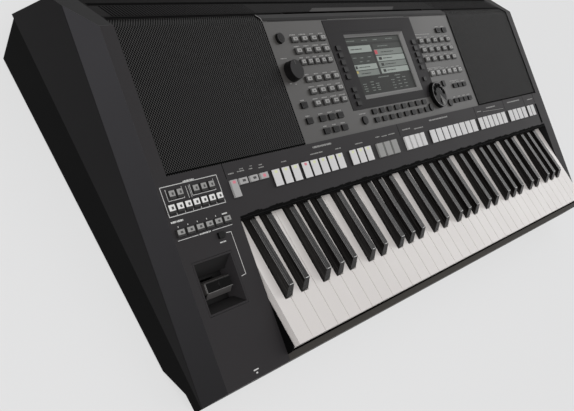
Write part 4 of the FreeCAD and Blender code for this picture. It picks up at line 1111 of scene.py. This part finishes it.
@dataclass
class Legends:
    """Plain bars and lines printed about the buttons.

    Attributes:
        seed: Changes the lengths of the panel's bars.
        panel_marks: Middle, place up the slope and width of each bar on the panel that has no button.
        strip_marks: Left end, right end, place up the slope and height of each row of bars on the strip.
        cheek_marks: Middle, place up the slope, width and height of each row of bars on the left cheek.
        cheek_frame: Left, right, low and high limits of the frame on the left cheek.
    """

    seed: int = 7
    panel_marks: tuple[Spot, ...] = (
        (-220, 313.5, 13), (-214, 280.5, 3), (-224, 282, 4), (-97.2, 229.6, 16), (130, 331.5, 60),
        (124, 277.8, 70), (185, 253.2, 30))
    strip_marks: tuple[Limits, ...] = (
        (-386.4, -376.5, 193.7, 1.3), (-371.6, -360, 194, 1.3), (-367, -360.6, 196.3, 1.1),
        (-352, -344.7, 193.9, 1.3), (-349, -345.6, 196.8, 1.1), (-335.8, -326, 192.7, 1.3),
        (-334, -328, 195.7, 1.1), (-295, -285.6, 193, 1.3), (-238.3, -212, 193.4, 1.4),
        (-229, -190, 200.8, 2.4), (-186, -174, 192.7, 1.3), (-141, -123, 192.8, 1.4), (-90, -80, 195.1, 1.4),
        (-75, -62, 194.4, 1.4), (-58, -40, 194.7, 1.4), (-19, 2.7, 196.3, 1.6), (12.8, 38.7, 194, 1.6),
        (61.7, 119.6, 200.6, 2.2), (219, 233.8, 196.6, 1.4), (255, 290, 199.5, 2.0), (339, 390, 200.2, 2.0),
        (424, 447, 197.2, 1.6))
    cheek_marks: tuple[Limits, ...] = ((-446.5, 142.6, 17, 1.6), (-478, 161.0, 17, 2.0),
                                       (-427, 128.6, 9, 1.5), (-445, 197.4, 16, 1.4))
    cheek_frame: Limits = (-485.7, -404.0, 166.4, 196.2)

    def ragged(self, index: int, low: float, high: float) -> float:
        """Return a length that changes from bar to bar in a fixed order."""
        return low + (high - low) * ((index * 37 + self.seed * 11) % 17 / 16)

    def build(self) -> None:
        """Print everything."""
        self.panel_bars()
        self.strip_bars()
        self.cheek_lines()

    def panel_bars(self) -> None:
        """Print a bar above each button of the centre panel."""
        bars = Relief("panel_legends")
        under, over = PANEL_TOP - 0.1, PANEL_TOP + PRINT
        buttons = [(row, spot) for rows in PANEL_ROWS.values() for row in rows for spot in row.middles()]
        for index, (row, (x, v)) in enumerate(buttons, 1):
            half = row.width * self.ragged(index, 0.3, 0.52)
            bars.words(x - half, x + half, v + row.depth / 2 + 2.6, 1.6, under, over)
        for x, v, width in self.panel_marks:
            bars.words(x - width / 2, x + width / 2, v, 1.2, under, over)
        bars.build(Ink.PALE, slot="button_grey")

    def strip_bars(self) -> None:
        """Print the bars above the strip buttons."""
        bars = Relief("strip_legends")
        for first, last, v, depth in self.strip_marks:
            bars.words(first, last, v, depth, *PRINTED)
        bars.line([(240, 195), (316, 192.4)], 0.5, *PRINTED)
        bars.build(Ink.PALE, slot="button_grey")

    def cheek_lines(self) -> None:
        """Print the frames and brackets of the left cheek."""
        lines = Relief("cheek_print")
        left, right, low, high = self.cheek_frame
        lines.line([(left, low), (right, low), (right, high), (left, high), (left, low)], 0.75, *PRINTED)
        for x in (-451.4, -447.6):
            lines.line([(x, low + 14), (x, high - 4)], 0.5, *PRINTED)
        for start, end in ((-479.8, -457.4), (-445.8, -411.2)):
            lines.line([(start, 193), (start, 181.6), (end, 181.6), (end, 193)], 0.6, *PRINTED)
        for index in range(6):
            x = -474.5 + 11.57 * index
            lines.line([(x, low), (x, low + 2.4)], 0.5, *PRINTED)
        for start, end in ((-485, -457), (-436, -406)):
            lines.line([(start, 142.6), (end, 142.6)], 0.6, *PRINTED)
        lines.line([(-418, 136.4), (-411, 136.0), (-411, 90.7), (-417.7, 90.0)], 0.7, *PRINTED)
        for x, v, width, depth in self.cheek_marks:
            lines.words(x - width / 2, x + width / 2, v, depth, *PRINTED)
        for index in range(6):
            lines.bar(-479.3 + 13.58 * index, 155.6, 1.0 if index < 5 else 8.0, 1.4, *PRINTED)
        lines.bar(-443, -1.0, 7.5, 1.3, *PRINTED)
        lines.bar(-443, -4.2, 2.6, 1.6, *PRINTED)
        lines.build(Ink.WHITE, slot="button_white")


@dataclass
class ButtonFaces:
    """Lamp windows and glyphs on the button caps, moving with their groups.

    Attributes:
        lamp: Width and depth of a lamp window in a tall cap.
        low_lamp: Depth of one in a low cap.
        tile: Thickness of the tiles on the caps.
    """

    lamp: Point = (4.6, 3.0)
    low_lamp: float = 3.6
    tile: float = 0.12

    def build(self) -> None:
        """Make the details of every group."""
        self.lamps()
        self.strip_glyphs()
        self.panel_glyphs()

    def set_lamp(self, windows: Relief, row: Row, index: int) -> None:
        """Set a lamp window into one cap of a row.

        Args:
            windows: The mesh of the windows.
            row: The cap's row.
            index: The cap's number in it.
        """
        x, v = row.middles()[index]
        tall = row.depth > 10
        windows.bar(x, v + (row.depth * 0.36 if tall else 0), self.lamp[0],
                    self.lamp[1] if tall else self.low_lamp, STRIP_TOP - 0.3, STRIP_TOP + 0.15, 0.12)

    def lamps(self) -> None:
        """Set the lamp windows into the caps, all lime but three."""
        lime, rose = Relief("section_buttons_lime"), Relief("section_buttons_rose")
        for line, row in enumerate(SECTION_ROWS):
            for index in range(row.count):
                self.set_lamp(rose if (line, index) == (1, 0) else lime, row, index)
        lime.build(Ink.LIME, "section_buttons", "button_white")
        rose.build(Ink.ROSE, "section_buttons", "button_white")
        switches = Relief("style_switch_buttons_rose")
        for line, index in ((0, 0), (1, 2)):
            self.set_lamp(switches, SWITCH_ROWS[line], index)
        switches.build(Ink.ROSE, "style_switch_buttons", "button_white")

    def strip_glyphs(self) -> None:
        """Face the cheek caps with tiles set high, leaving painted shade below, and print the small marks of
        the cheek and strip caps.
        """
        marks = Relief("cheek_glyphs")
        white, grey = Relief("cheek_white_tiles"), Relief("cheek_grey_tiles")
        top = STRIP_TOP + self.tile
        for row in CHEEK_ROWS:
            tile = white if row is CHEEK_ROWS[2] else grey
            width, depth = row.width, row.depth
            for x, v in row.middles():
                # the tile sits high, so the darker cap below it is painted shade on the cap's front
                tile.bar(x, v + depth * 0.12, width * 0.9, depth * 0.68, STRIP_TOP - 0.2, top, 0.1)
                marks.bar(x + 0.6, v + depth * 0.08, width * 0.3, depth * 0.3, top - 0.1, top + PRINT)
        marks.build(Ink.GLYPH, "cheek_buttons", "button_grey")
        white.build(Ink.SNOW, "cheek_buttons", "button_white")
        grey.build(Ink.TILE, "cheek_buttons", "button_grey")
        marks = Relief("switch_glyphs")
        for x, v in SWITCH_ROWS[1].middles()[:2]:
            marks.bar(x + 0.8, v + 0.2, 5.0, 2.6, STRIP_TOP - 0.2, STRIP_TOP + PRINT)
        marks.build(Ink.GLYPH, "style_switch_buttons", "button_grey")

    def panel_glyphs(self) -> None:
        """Face the panel caps with tiles set up and right, leaving painted shade at the lower left, and print
        their small marks.
        """
        top = PANEL_CAP_TOP + self.tile
        for name, rows in PANEL_ROWS.items():
            tiles: dict[Ink, Relief] = {}
            marks = Relief(name + "_glyphs")
            for line, row in enumerate(rows):
                ink = self.tile_ink(name, line)
                tile = tiles.setdefault(ink, Relief("%s_%s" % (name, ink.name.lower())))
                width, depth = row.width, row.depth
                for index, (x, v) in enumerate(row.middles()):
                    # the tile sits up and right, so the darker cap at its lower left is painted shade
                    tile.bar(x + width * 0.07, v + depth * 0.09, width * 0.7, depth * 0.64,
                             PANEL_CAP_TOP - 0.2, top, 0.1)
                    if ink is not Ink.DIM:
                        marks.bar(x + width * 0.1, v + depth * 0.05, width * (0.2 + 0.06 * (index % 3)),
                                  depth * 0.24, top - 0.1, top + PRINT)
            for ink, tile in tiles.items():
                tile.build(ink, name, "button_grey")
            if marks.points:
                marks.build(Ink.MARK, name, "button_grey")

    @staticmethod
    def tile_ink(name: str, line: int) -> Ink:
        """Choose the tile colour of one row.

        Args:
            name: The group of the row.
            line: The row's number in the group.

        Returns:
            The colour.
        """
        if name == "effect_buttons":
            return Ink.DIM if line else Ink.BRIGHT
        dim = name == "tempo_buttons" or (name, line) == ("voice_buttons", 0)
        return Ink.DIM if dim else Ink.TILE


@dataclass
class ScreenPicture:
    """Surround and a plain picture of bands, tiles and broken lines on the display.

    Attributes:
        tiles: Colour and left, right, low and high limits of each tile.
        columns: Middle and lowest and highest line of each stack of short lines.
        lines: Left end, right end and place of the dark lines on the tiles.
        pale_lines: The same for the pale lines on the dark ground.
        edge: Limits of the bezel's window.
        step: Limits of the flat lip's inner edge.
        glass: Limits of the glass.
    """

    tiles: tuple[tuple[Screen, Limits], ...] = (
        (Screen.BAND, (-72, 72, 327.4, 334)), (Screen.PALE, (-70, -12, 313.6, 323.4)),
        (Screen.BAND, (-6, 70, 317.4, 324)), (Screen.BAND, (-70, -12, 297.6, 311.6)),
        (Screen.MIST, (-6, 70, 307.4, 316.2)), (Screen.PALE, (-6, 70, 298.4, 306.4)),
        (Screen.MIST, (-6, 70, 289.4, 297.4)), (Screen.PALE, (-6, 70, 280.4, 288.4)),
        (Screen.RED, (-6, 1, 309, 315)), (Screen.PALE, (-70, -12, 288.8, 296.6)),
        (Screen.MIST, (-70, -12, 280, 287.8)), (Screen.AMBER, (-68, -63.5, 284.6, 288.0)),
        (Screen.DARK, (-1, 7, 300.4, 304.4)), (Screen.DARK, (0, 7, 291.4, 295.4)),
        (Screen.DARK, (0, 7, 282.4, 286.4)), (Screen.DARK, (-67, -62, 291, 295)))
    columns: tuple[Spot, ...] = (
        (-59, 259, 269), (-40, 259, 271), (-27, 259, 268), (16, 258, 270), (32, 258, 272), (48, 258, 272))
    lines: tuple[Spot, ...] = (
        (-60, -30, 292.6), (-58, -34, 283.6), (-64, -36, 318.4), (10, 44, 311.6), (10, 36, 302.4),
        (10, 40, 293.4), (10, 34, 284.4))
    pale_lines: tuple[Spot, ...] = (
        (-68, -46, 330.4), (-30, -14, 330.6), (0, 12, 330.4), (34, 54, 330.6), (6, 34, 320.6),
        (-66, -56, 306.4), (-48, -40, 306), (-28, -20, 306.4), (-52, -44, 300.6), (-34, -26, 300.6),
        (-20, 8, 276), (24, 40, 276))
    edge: Limits = (-80.3, 80.3, 246.6, 342.2)
    step: Limits = (-76.0, 79.4, 247.4, 338.4)
    glass: Limits = (-73.4, 73.4, 253.5, 335.3)

    def build(self) -> None:
        """Make the surround, the tiles and the lines."""
        self.ring("screen_lip", ((self.edge, -4.0), (self.edge, -1.95), (self.step, -1.95)), BEZEL,
                  "bezel_dark")
        self.ring("screen_surround", ((self.step, -1.95), (self.glass, -6.3), (self.glass, -6.9)), FRAME_GREY,
                  "frame_grey")
        layers: dict[Screen, Relief] = {}
        under = GLASS_TOP - 0.1
        for index, (ink, (left, right, low, high)) in enumerate(self.tiles):
            relief = layers.setdefault(ink, Relief("screen_" + ink.name.lower()))
            relief.bar((left + right) / 2, (low + high) / 2, right - left, high - low, under,
                       GLASS_TOP + 0.04 + 0.004 * index)
        for x, low, high in self.columns:
            for step in range(4):
                half = 4.5 - step % 2
                layers[Screen.MIST].words(x - half, x + half, high - (high - low) * step / 3, 1.3, under,
                                          GLASS_TOP + 0.06)
        for ink, lines, top in ((Screen.MIST, self.pale_lines, 0.11), (Screen.DARK, self.lines, 0.13)):
            for left, right, v in lines:
                layers[ink].words(left, right, v, 1.3, under, GLASS_TOP + top)
        for ink, relief in layers.items():
            relief.build(ink, slot="screen")

    @staticmethod
    def ring(name: str, rings: Sequence[tuple[Limits, float]], finish: Finish, slot: str) -> None:
        """Make a closed band through rectangles.

        Args:
            name: The piece's name.
            rings: Left, right, low and high limits and the height of each rectangle.
            finish: Its finish.
            slot: Material slot of the record.
        """
        band = Relief(name)
        for (left, right, low, high), w in rings:
            for x, v in ((left, low), (right, low), (right, high), (left, high)):
                band.points.append(STRIP.at(x, v, w))
        for base in range(0, 4 * (len(rings) - 1), 4):
            for side in range(4):
                a, b = base + side, base + (side + 1) % 4
                band.faces.append((a, b, b + 4, a + 4))
        band.build(finish, slot=slot)


@dataclass
class Controls:
    """Caps of the knob, the standby button, the dial and the joystick, and the joystick's dish.

    Attributes:
        knob: Middle of the volume knob.
        standby: Middle of the standby button.
        stick: Middle of the joystick.
        dial_top: w of the dial's face.
        dark_disc_turns: Angles of the dark discs round the dial's face, in degrees.
    """

    knob: Point = (-215.5, 296.0)
    standby: Point = (-215.8, 338.6)
    stick: Point = (-449.5, 90.8)
    dial_top: float = 3.8
    dark_disc_turns: tuple[float, ...] = (10, 65, 100, 135, 170)

    def build(self) -> None:
        """Make the caps."""
        face = Relief("volume_cap")
        face.disc(*self.knob, 11.9, 7.6, 8.0, 0.25)
        face.build(Ink.GREY, "volume_knob", "button_dark")
        pointer = Relief("volume_pointer")
        pointer.bar(self.knob[0], self.knob[1] + 8.6, 1.4, 5.0, 7.8, 8.12, 0.06)
        pointer.build(Ink.GLYPH, "volume_knob", "button_dark")
        eye = Relief("standby_eye")
        eye.disc(*self.standby, 3.6, 1.0, 1.35, 0.15, 24)
        eye.build(Ink.DIM, "standby_button", "button_dark")
        self.dial_face()
        self.stick_cap()
        self.stick_dish()

    def dial_face(self) -> None:
        """Lay a painted reflection wedge, painted highlights, a dimple of painted shade and dark discs on the
        dial's top.
        """
        x, v = DIAL
        low, top = self.dial_top - 0.2, self.dial_top
        turns = [-92 + 12 * index for index in range(5)]
        # painted reflection: a lighter wedge on the dial's face
        wedge = Relief("dial_wedge")
        wedge.slab([DIAL] + arc(DIAL, 17.5, turns), low, top + 0.1)
        wedge.build(Ink.MARK, "data_dial", "button_dark")
        # painted highlights: a ring round the face, the rim of the finger dimple and a brighter core of the
        # wedge
        rim = Relief("dial_rim")
        rim.line(arc(DIAL, 18.2, range(0, 370, 10)), 0.7, low, top + 0.12)
        rim.disc(x + 9.8, v + 7.6, 4.2, low, top + 0.1, 0.08, 24)
        rim.slab([(x + 1.5, v - 4.0)] + arc(DIAL, 17, turns[1:3]), low, top + 0.14)
        rim.build(Ink.EDGE, "data_dial", "button_dark")
        # painted shade: the finger dimple as a dark disc; also dark discs round the face
        dimple = Relief("dial_dimple")
        dimple.disc(x + 9.9, v + 7.4, 3.5, low, top + 0.2, 0.06, 24)
        for spot in arc(DIAL, 13.4, self.dark_disc_turns):
            dimple.disc(*spot, 3.9, low, top + 0.11, 0.06, 24)
        dimple.build(Ink.DARK, "data_dial", "button_dark")

    def stick_cap(self) -> None:
        """Give the joystick its two lobes, its sloping front, its skirt and a painted highlight along its top
        edges.
        """
        x, v = self.stick
        lobes = Relief("joystick_lobes")
        for side in (-1, 1):
            lobes.bar(x + side * 9.3, v - 0.8, 17.6, 9.2, -4.6, -2.6, 0.5)
        lobes.build(Ink.BLACK, "joystick_lever", "button_dark")
        front = Relief("joystick_front")
        folds = ((-11.2, -8.7), (-8.4, -6.1), (-5.2, -3.8))
        front.folded(x - 18.1, x + 18.1, [(STRIP, v + run, w) for run, w in folds], 0.9)
        front.build(Ink.FRONT, "joystick_lever", "button_dark")
        skirt = Relief("joystick_skirt")
        skirt.stack(*([(x - half, v + near, w), (x + half, v + near, w), (x + half, v + far, w),
                       (x - half, v + far, w)]
                      for half, near, far, w in ((18.9, -7, 7, -11), (18.5, -5.4, 5.2, -3.9))))
        skirt.build(cap("skirt_grey", tone(58, 56, 55), 0.45), "joystick_lever", "button_dark")
        # painted highlight along the paddle's left and front top edges
        rim = Relief("joystick_rim")
        rim.line([(x - 18.3, v + 4.0), (x - 18.3, v - 5.6), (x + 18.3, v - 5.6)], 0.6, -4.6, -2.9)
        rim.build(Ink.EDGE, "joystick_lever", "button_dark")

    def stick_dish(self) -> None:
        """Line the joystick's recess with two slopes and a floor of painted shade that leave room for its
        tilt.
        """
        x, v = self.stick
        slopes = Relief("joystick_slopes")
        for (half, near, low), (far_half, far, high) in (((24, 12.6, -11.4), (26.4, 25, -0.6)),
                                                         ((26.4, -25, -0.6), (24, -17.2, -12))):
            slopes.sheet([(x - half, v + near, low), (x + half, v + near, low),
                          (x + far_half, v + far, high), (x - far_half, v + far, high)], 1.0)
        # painted shade: the slopes are darker than the case
        slopes.build(recess("slope_charcoal", tone(24, 23, 23)))
        floor = Relief("joystick_floor")
        for left, right, low, high in ((-22.6, -9, -19, 13.5), (9, 22.6, -19, 13.5), (-9, 9, 9, 13.5),
                                       (-9, 9, -19, -9)):
            floor.bar(x + (left + right) / 2, v + (low + high) / 2, right - left, high - low, -18.4, -17.6)
        # painted shade: a dark floor deep in the recess
        floor.build(recess("floor_charcoal", tone(15, 14, 14)))


@dataclass
class Trim:
    """Seams, grooves, felt and edging of the case, with painted shade and painted highlights.

    Attributes:
        seams: x of the seams above the strip buttons.
        grille: Inner and outer distance of a grille from the middle.
        panel_half: Half width of the centre panel.
        panel_path: Plane, v and w of the folds of the panel's roll over the ridge.
        grille_path: The same for the grilles' skins.
        ribs: Ribs on each half of the rear ledge.
        tufts: Tufts along the felt lip.
        tuft: Width of a tuft of the lip and of the curtain.
    """

    seams: tuple[float, ...] = (-390.8, -28.7, 211.5, 322.8, 406.7, 453.0)
    grille: Point = (238.3, 471.2)
    panel_half: float = 237.2
    panel_path: tuple[tuple[Plane, float, float], ...] = (
        (STRIP, 360.4, -2.15), (STRIP, 361.6, -2.25), (REAR, 1.6, -1.2), (REAR, 4.4, 0.15),
        (REAR, 13.4, 0.15))
    grille_path: tuple[tuple[Plane, float, float], ...] = (
        (STRIP, 206.9, -1.3), (STRIP, 358.5, -1.3), (STRIP, 361.3, -1.6), (REAR, 0.75, -1.6),
        (REAR, 3.5, -1.3), (REAR, 13.1, -1.3))
    ribs: int = 50
    tufts: int = 340
    tuft: Point = (2.5, 10.0)

    def build(self) -> None:
        """Make the trim."""
        grooves = Relief("label_seams")
        for x in self.seams:
            grooves.line([(x, 189.5), (x, 205.4)], 0.9, *PRINTED)
        # a dark plate at the strip's right end
        grooves.bar(452.6, 169, 7.6, 36, *PRINTED)
        grooves.build(Ink.DARK)
        self.rear_ledge()
        self.felt_strips()
        self.grille_skins()
        self.panel_roll()
        self.key_sides()

    def rear_ledge(self) -> None:
        """Lay painted shade in the rear ledge's grooves, lay the plate behind its slot and rib both halves.
        """
        rear = Relief("rear_grooves", REAR)
        # painted shade: dark strips along the ledge's grooves
        for start, end, v, width in ((-468, -184, 15.6, 3.4), (184, 468, 15.6, 3.4), (-466, 466, 46.0, 5.0)):
            rear.line([(start, v), (end, v)], width, *GROOVED)
        rear.build(Ink.DARK)
        plate = Relief("rest_plate", REAR)
        plate.sheet([(-119, 18.6, 0.25), (93, 18.6, 0.25), (112, 28.6, 0.25), (-100, 28.6, 0.25)], 0.4)
        plate.sheet([(-120, 18.2, 0.45), (92.4, 18.2, 0.45), (94, 19.1, 0.45), (-118.4, 19.1, 0.45)], 0.6)
        plate.build(Moulded("rest_grey", tone(46, 44, 43), 0.5, 0.03, 0.8))
        ribs = Relief("ledge_ribs", REAR)
        for index in range(self.ribs):
            for side, wide in ((-1, 2.2 - 0.03 * index), (1, 1.1 - 0.01 * index)):
                x = side * (456 - 4.6 * index)
                ribs.line([(x, 19.5), (x, 41.0)], wide, *GROOVED)
        ribs.build(Ink.DARK)

    def felt_strips(self) -> None:
        """Hang a tufted curtain behind the keys and lay a tufted lip on the strip's edge above it, black felt
        that also paints the gap's shade.
        """
        felt = Moulded("curtain_felt", tone(9, 9, 9), 0.9, 0.2, 1.2, sheen=0.05)
        edge = STRIP.z + 142 * math.tan(math.radians(STRIP.angle))
        # black felt, which also stands in for the shade under the strip's edge
        curtain = Relief("key_curtain", Plane(-70.0, edge, 0.0))
        fine, wide = self.tuft
        for index in range(round(self.tufts * fine / wide)):
            curtain.bar(-385.5 + wide * index, -0.95, wide, 1.8, -3.6 + 0.15 * (index * 7 % 4), -0.5, 0.3)
        curtain.build(felt, slot="felt")
        lip = Relief("lip_felt")
        for index in range(self.tufts):
            reach = 2.3 + 0.15 * (index // 5 * 37 % 11) + 0.06 * (index * 53 % 13)
            lip.bar(-389.2 + fine * index, 145.7 + reach / 2, fine, reach, -0.3, 0.16, 0.1)
        lip.build(felt, slot="felt")

    def grille_skins(self) -> None:
        """Bend a punched skin over each grille and its opening's ridge, with a dark gap at each side and
        painted shadow along its front.
        """
        skin, gaps = Relief("grille_skins"), Relief("grille_gaps")
        raised = [(plane, v, w + 0.06) for plane, v, w in self.grille_path]
        inner, outer = self.grille
        for left, right in ((-outer, -inner), (inner, outer)):
            skin.folded(left, right, self.grille_path, 0.8)
            for edge in (left, right):
                gaps.folded(edge - 0.5, edge + 0.5, raised, 0.3)
            # painted shadow along the grille's front edge
            gaps.bar((left + right) / 2, 207.6, right - left, 1.5, -1.5, -1.24)
        skin.build(GRILLE_SHEET, slot="grille")
        gaps.build(Ink.DARK)

    def panel_roll(self) -> None:
        """Roll the panel's grey over the ridge in a painted-shade grey, fill its top corners and draw painted
        highlights on its edges.
        """
        half = self.panel_half
        roll = Relief("panel_roll")
        roll.folded(-half, half, self.panel_path, 0.4)
        # painted shade: the roll over the ridge is darker than the panel
        roll.build(Moulded("roll_grey", tone(28, 27, 27), 0.5, 0.02, 0.6, sheen=0.12), slot="panel_grey")
        corners = Relief("panel_corners")
        for side in (-1, 1):
            corner = [(side * half, 351.0), (side * half, 361.4), (side * (half - 10.6), 361.4)]
            corners.slab(corner[::side], PANEL_TOP - 0.6, PANEL_TOP + 0.1)
        corners.build(PANEL_GREY, slot="panel_grey")
        # painted highlights along the panel's left edge and the middle of its top edge
        edge = Relief("panel_edge")
        edge.line([(0.3 - half, 208), (0.3 - half, 360)], 0.6, PANEL_TOP - 0.1, PANEL_TOP + 0.17)
        edge.line([(-100, 360.9), (100, 360.9)], 0.6, PANEL_TOP - 0.1, PANEL_TOP + 0.25)
        edge.build(Ink.MARK, slot="panel_grey")
        # painted highlight along the left edge of the roll
        bend = Relief("panel_bend_edge")
        bend.folded(-0.1 - half, 0.8 - half, [(plane, v, w + 0.12) for plane, v, w in self.panel_path], 0.3)
        bend.build(Ink.PALE, slot="panel_grey")

    @staticmethod
    def key_sides() -> None:
        """Stand a dark sheet of painted shade beside the first and the last key."""
        # painted shade: a dark sheet over the lower part of the outer keys' sides
        shade_sheets = Relief("key_side_blades", LEVEL)
        side = [(-133.0, 70.0), (-133.0, 80.3), (-211.0, 80.3), (-214.5, 74.0), (-214.5, 58.0)]
        for low, high in ((-391.1, -390.25), (459.25, 460.1)):
            shade_sheets.stack(*([(x, y, z) for y, z in side] for x in (low, high)))
        shade_sheets.build(SIDE_BLACK, slot="case_black")


@dataclass(frozen=True)
class Lamp:
    """Square soft lamp.

    Attributes:
        name: Its name.
        at: Its place in metres.
        side: Its size in metres.
        power: Its power in watts.
    """

    name: str
    at: Spot
    side: float
    power: float


@dataclass
class Stage:
    """Pale floor, soft light and the camera at the photograph's place.

    Attributes:
        camera_at: Camera place in metres.
        right: Camera's right in the row frame.
        up: Camera's up.
        back: Camera's back.
        lens: Focal length in millimetres.
        sensor: Width of the sensor.
        backdrop: Colour of floor and backdrop.
        paper: Colour of the floor where light falls on it.
        fill: Colour of the even light from all round.
        fill_strength: Its strength.
        floor_half: Half the floor's side in metres.
        seen_share: Share of the backdrop's own colour in the floor; the rest keeps the shadow.
        aim: What the lamps point at, in metres.
        lamps: The soft lamps.
    """

    camera_at: Spot = (-1.0707, -0.2372, 0.6879)
    right: Spot = (0.59834, -0.487396, 0.635952)
    up: Spot = (0.185462, 0.8564, 0.481854)
    back: Spot = (-0.779483, -0.170367, 0.602812)
    lens: float = 55.24
    sensor: float = 36.0
    backdrop: Colour = tone(229, 229, 229)
    paper: Colour = tone(232, 232, 232)
    fill: Colour = (0.9, 0.92, 1.0)
    fill_strength: float = 0.28
    floor_half: float = 12.0
    seen_share: float = 0.8
    aim: Spot = (0.0, 0.0, 0.1)
    lamps: tuple[Lamp, ...] = (
        Lamp("key_lamp", (-3.2, -1.2, 3.6), 2.6, 133.0), Lamp("top_lamp", (1.5, 0.7, 2.3), 2.2, 8.0),
        Lamp("front_lamp", (0.3, -1.6, 2.2), 1.6, 6.0), Lamp("end_lamp", (-2.4, 0.1, 1.3), 1.2, 5.0),
        Lamp("side_lamp", (2.7, 0.25, 1.25), 1.2, 6.0))

    def build(self) -> None:
        """Set the stage."""
        self.set_camera()
        self.set_world()
        self.set_lamps()
        self.set_floor()

    def set_camera(self) -> None:
        """Place the camera."""
        data = bpy.data.cameras.new("camera")
        data.lens = self.lens
        data.sensor_width = self.sensor
        data.sensor_fit = "HORIZONTAL"
        data.clip_start = 0.05
        camera = bpy.data.objects.new("camera", data)
        bpy.context.scene.collection.objects.link(camera)
        turn = Matrix((self.right, self.up, self.back)).transposed()
        camera.matrix_world = Matrix.Translation(Vector(self.camera_at)) @ turn.to_4x4()
        bpy.context.scene.camera = camera

    def set_world(self) -> None:
        """Give the world an even grey that the camera sees as the backdrop."""
        world = bpy.data.worlds.new("studio")
        bpy.context.scene.world = world
        world.use_nodes = True
        wiring = Wiring(world.node_tree)
        fill, seen = (wiring.node("ShaderNodeBackground", inputs={"Color": colour, "Strength": strength})
                      for colour, strength in ((self.fill, self.fill_strength), (self.backdrop, 1.0)))
        mixed = wiring.node("ShaderNodeMixShader", inputs={0: wiring.backdrop_rays(), 1: fill, 2: seen})
        wiring.add("ShaderNodeOutputWorld", inputs={"Surface": mixed})

    def set_lamps(self) -> None:
        """Hang the soft lamps, each aimed at the middle of the keyboard."""
        for lamp in self.lamps:
            data = bpy.data.lights.new(lamp.name, "AREA")
            data.shape = "SQUARE"
            data.size = lamp.side
            data.energy = lamp.power
            hung = bpy.data.objects.new(lamp.name, data)
            bpy.context.scene.collection.objects.link(hung)
            hung.location = lamp.at
            away = Vector(self.aim) - Vector(lamp.at)
            hung.rotation_euler = away.to_track_quat("-Z", "Y").to_euler()
            LOG.info("lamp %s: %g W", lamp.name, lamp.power)

    def set_floor(self) -> None:
        """Lay the floor, which shows the backdrop's colour and keeps a soft shadow."""
        mesh = bpy.data.meshes.new("floor")
        half = self.floor_half
        mesh.from_pydata([(-half, -half, 0), (half, -half, 0), (half, half, 0), (-half, half, 0)], [],
                         [(0, 1, 2, 3)])
        floor = bpy.data.objects.new("floor", mesh)
        bpy.context.scene.collection.objects.link(floor)
        shader = Shader("floor_paper")
        paper = shader.node("ShaderNodeBsdfDiffuse", inputs={"Color": self.paper})
        seen = shader.node("ShaderNodeEmission", inputs={"Color": self.backdrop, "Strength": 1.0})
        share = shader.backdrop_rays() * self.seen_share
        shader.cover(shader.node("ShaderNodeMixShader", inputs={0: share, 1: paper, 2: seen}))
        shader.tree.nodes.remove(shader.surface)
        mesh.materials.append(shader.material)


def main() -> None:
    """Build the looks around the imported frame."""
    logging.basicConfig(level=logging.INFO)
    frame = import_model()
    scene = bpy.context.scene
    scene.view_settings.view_transform = "Standard"
    CadDress(frame["nodes"]).build()
    for part in (Legends(), ButtonFaces(), ScreenPicture(), Controls(), Trim(), Stage()):
        part.build()


if __name__ == "__main__":
    main()
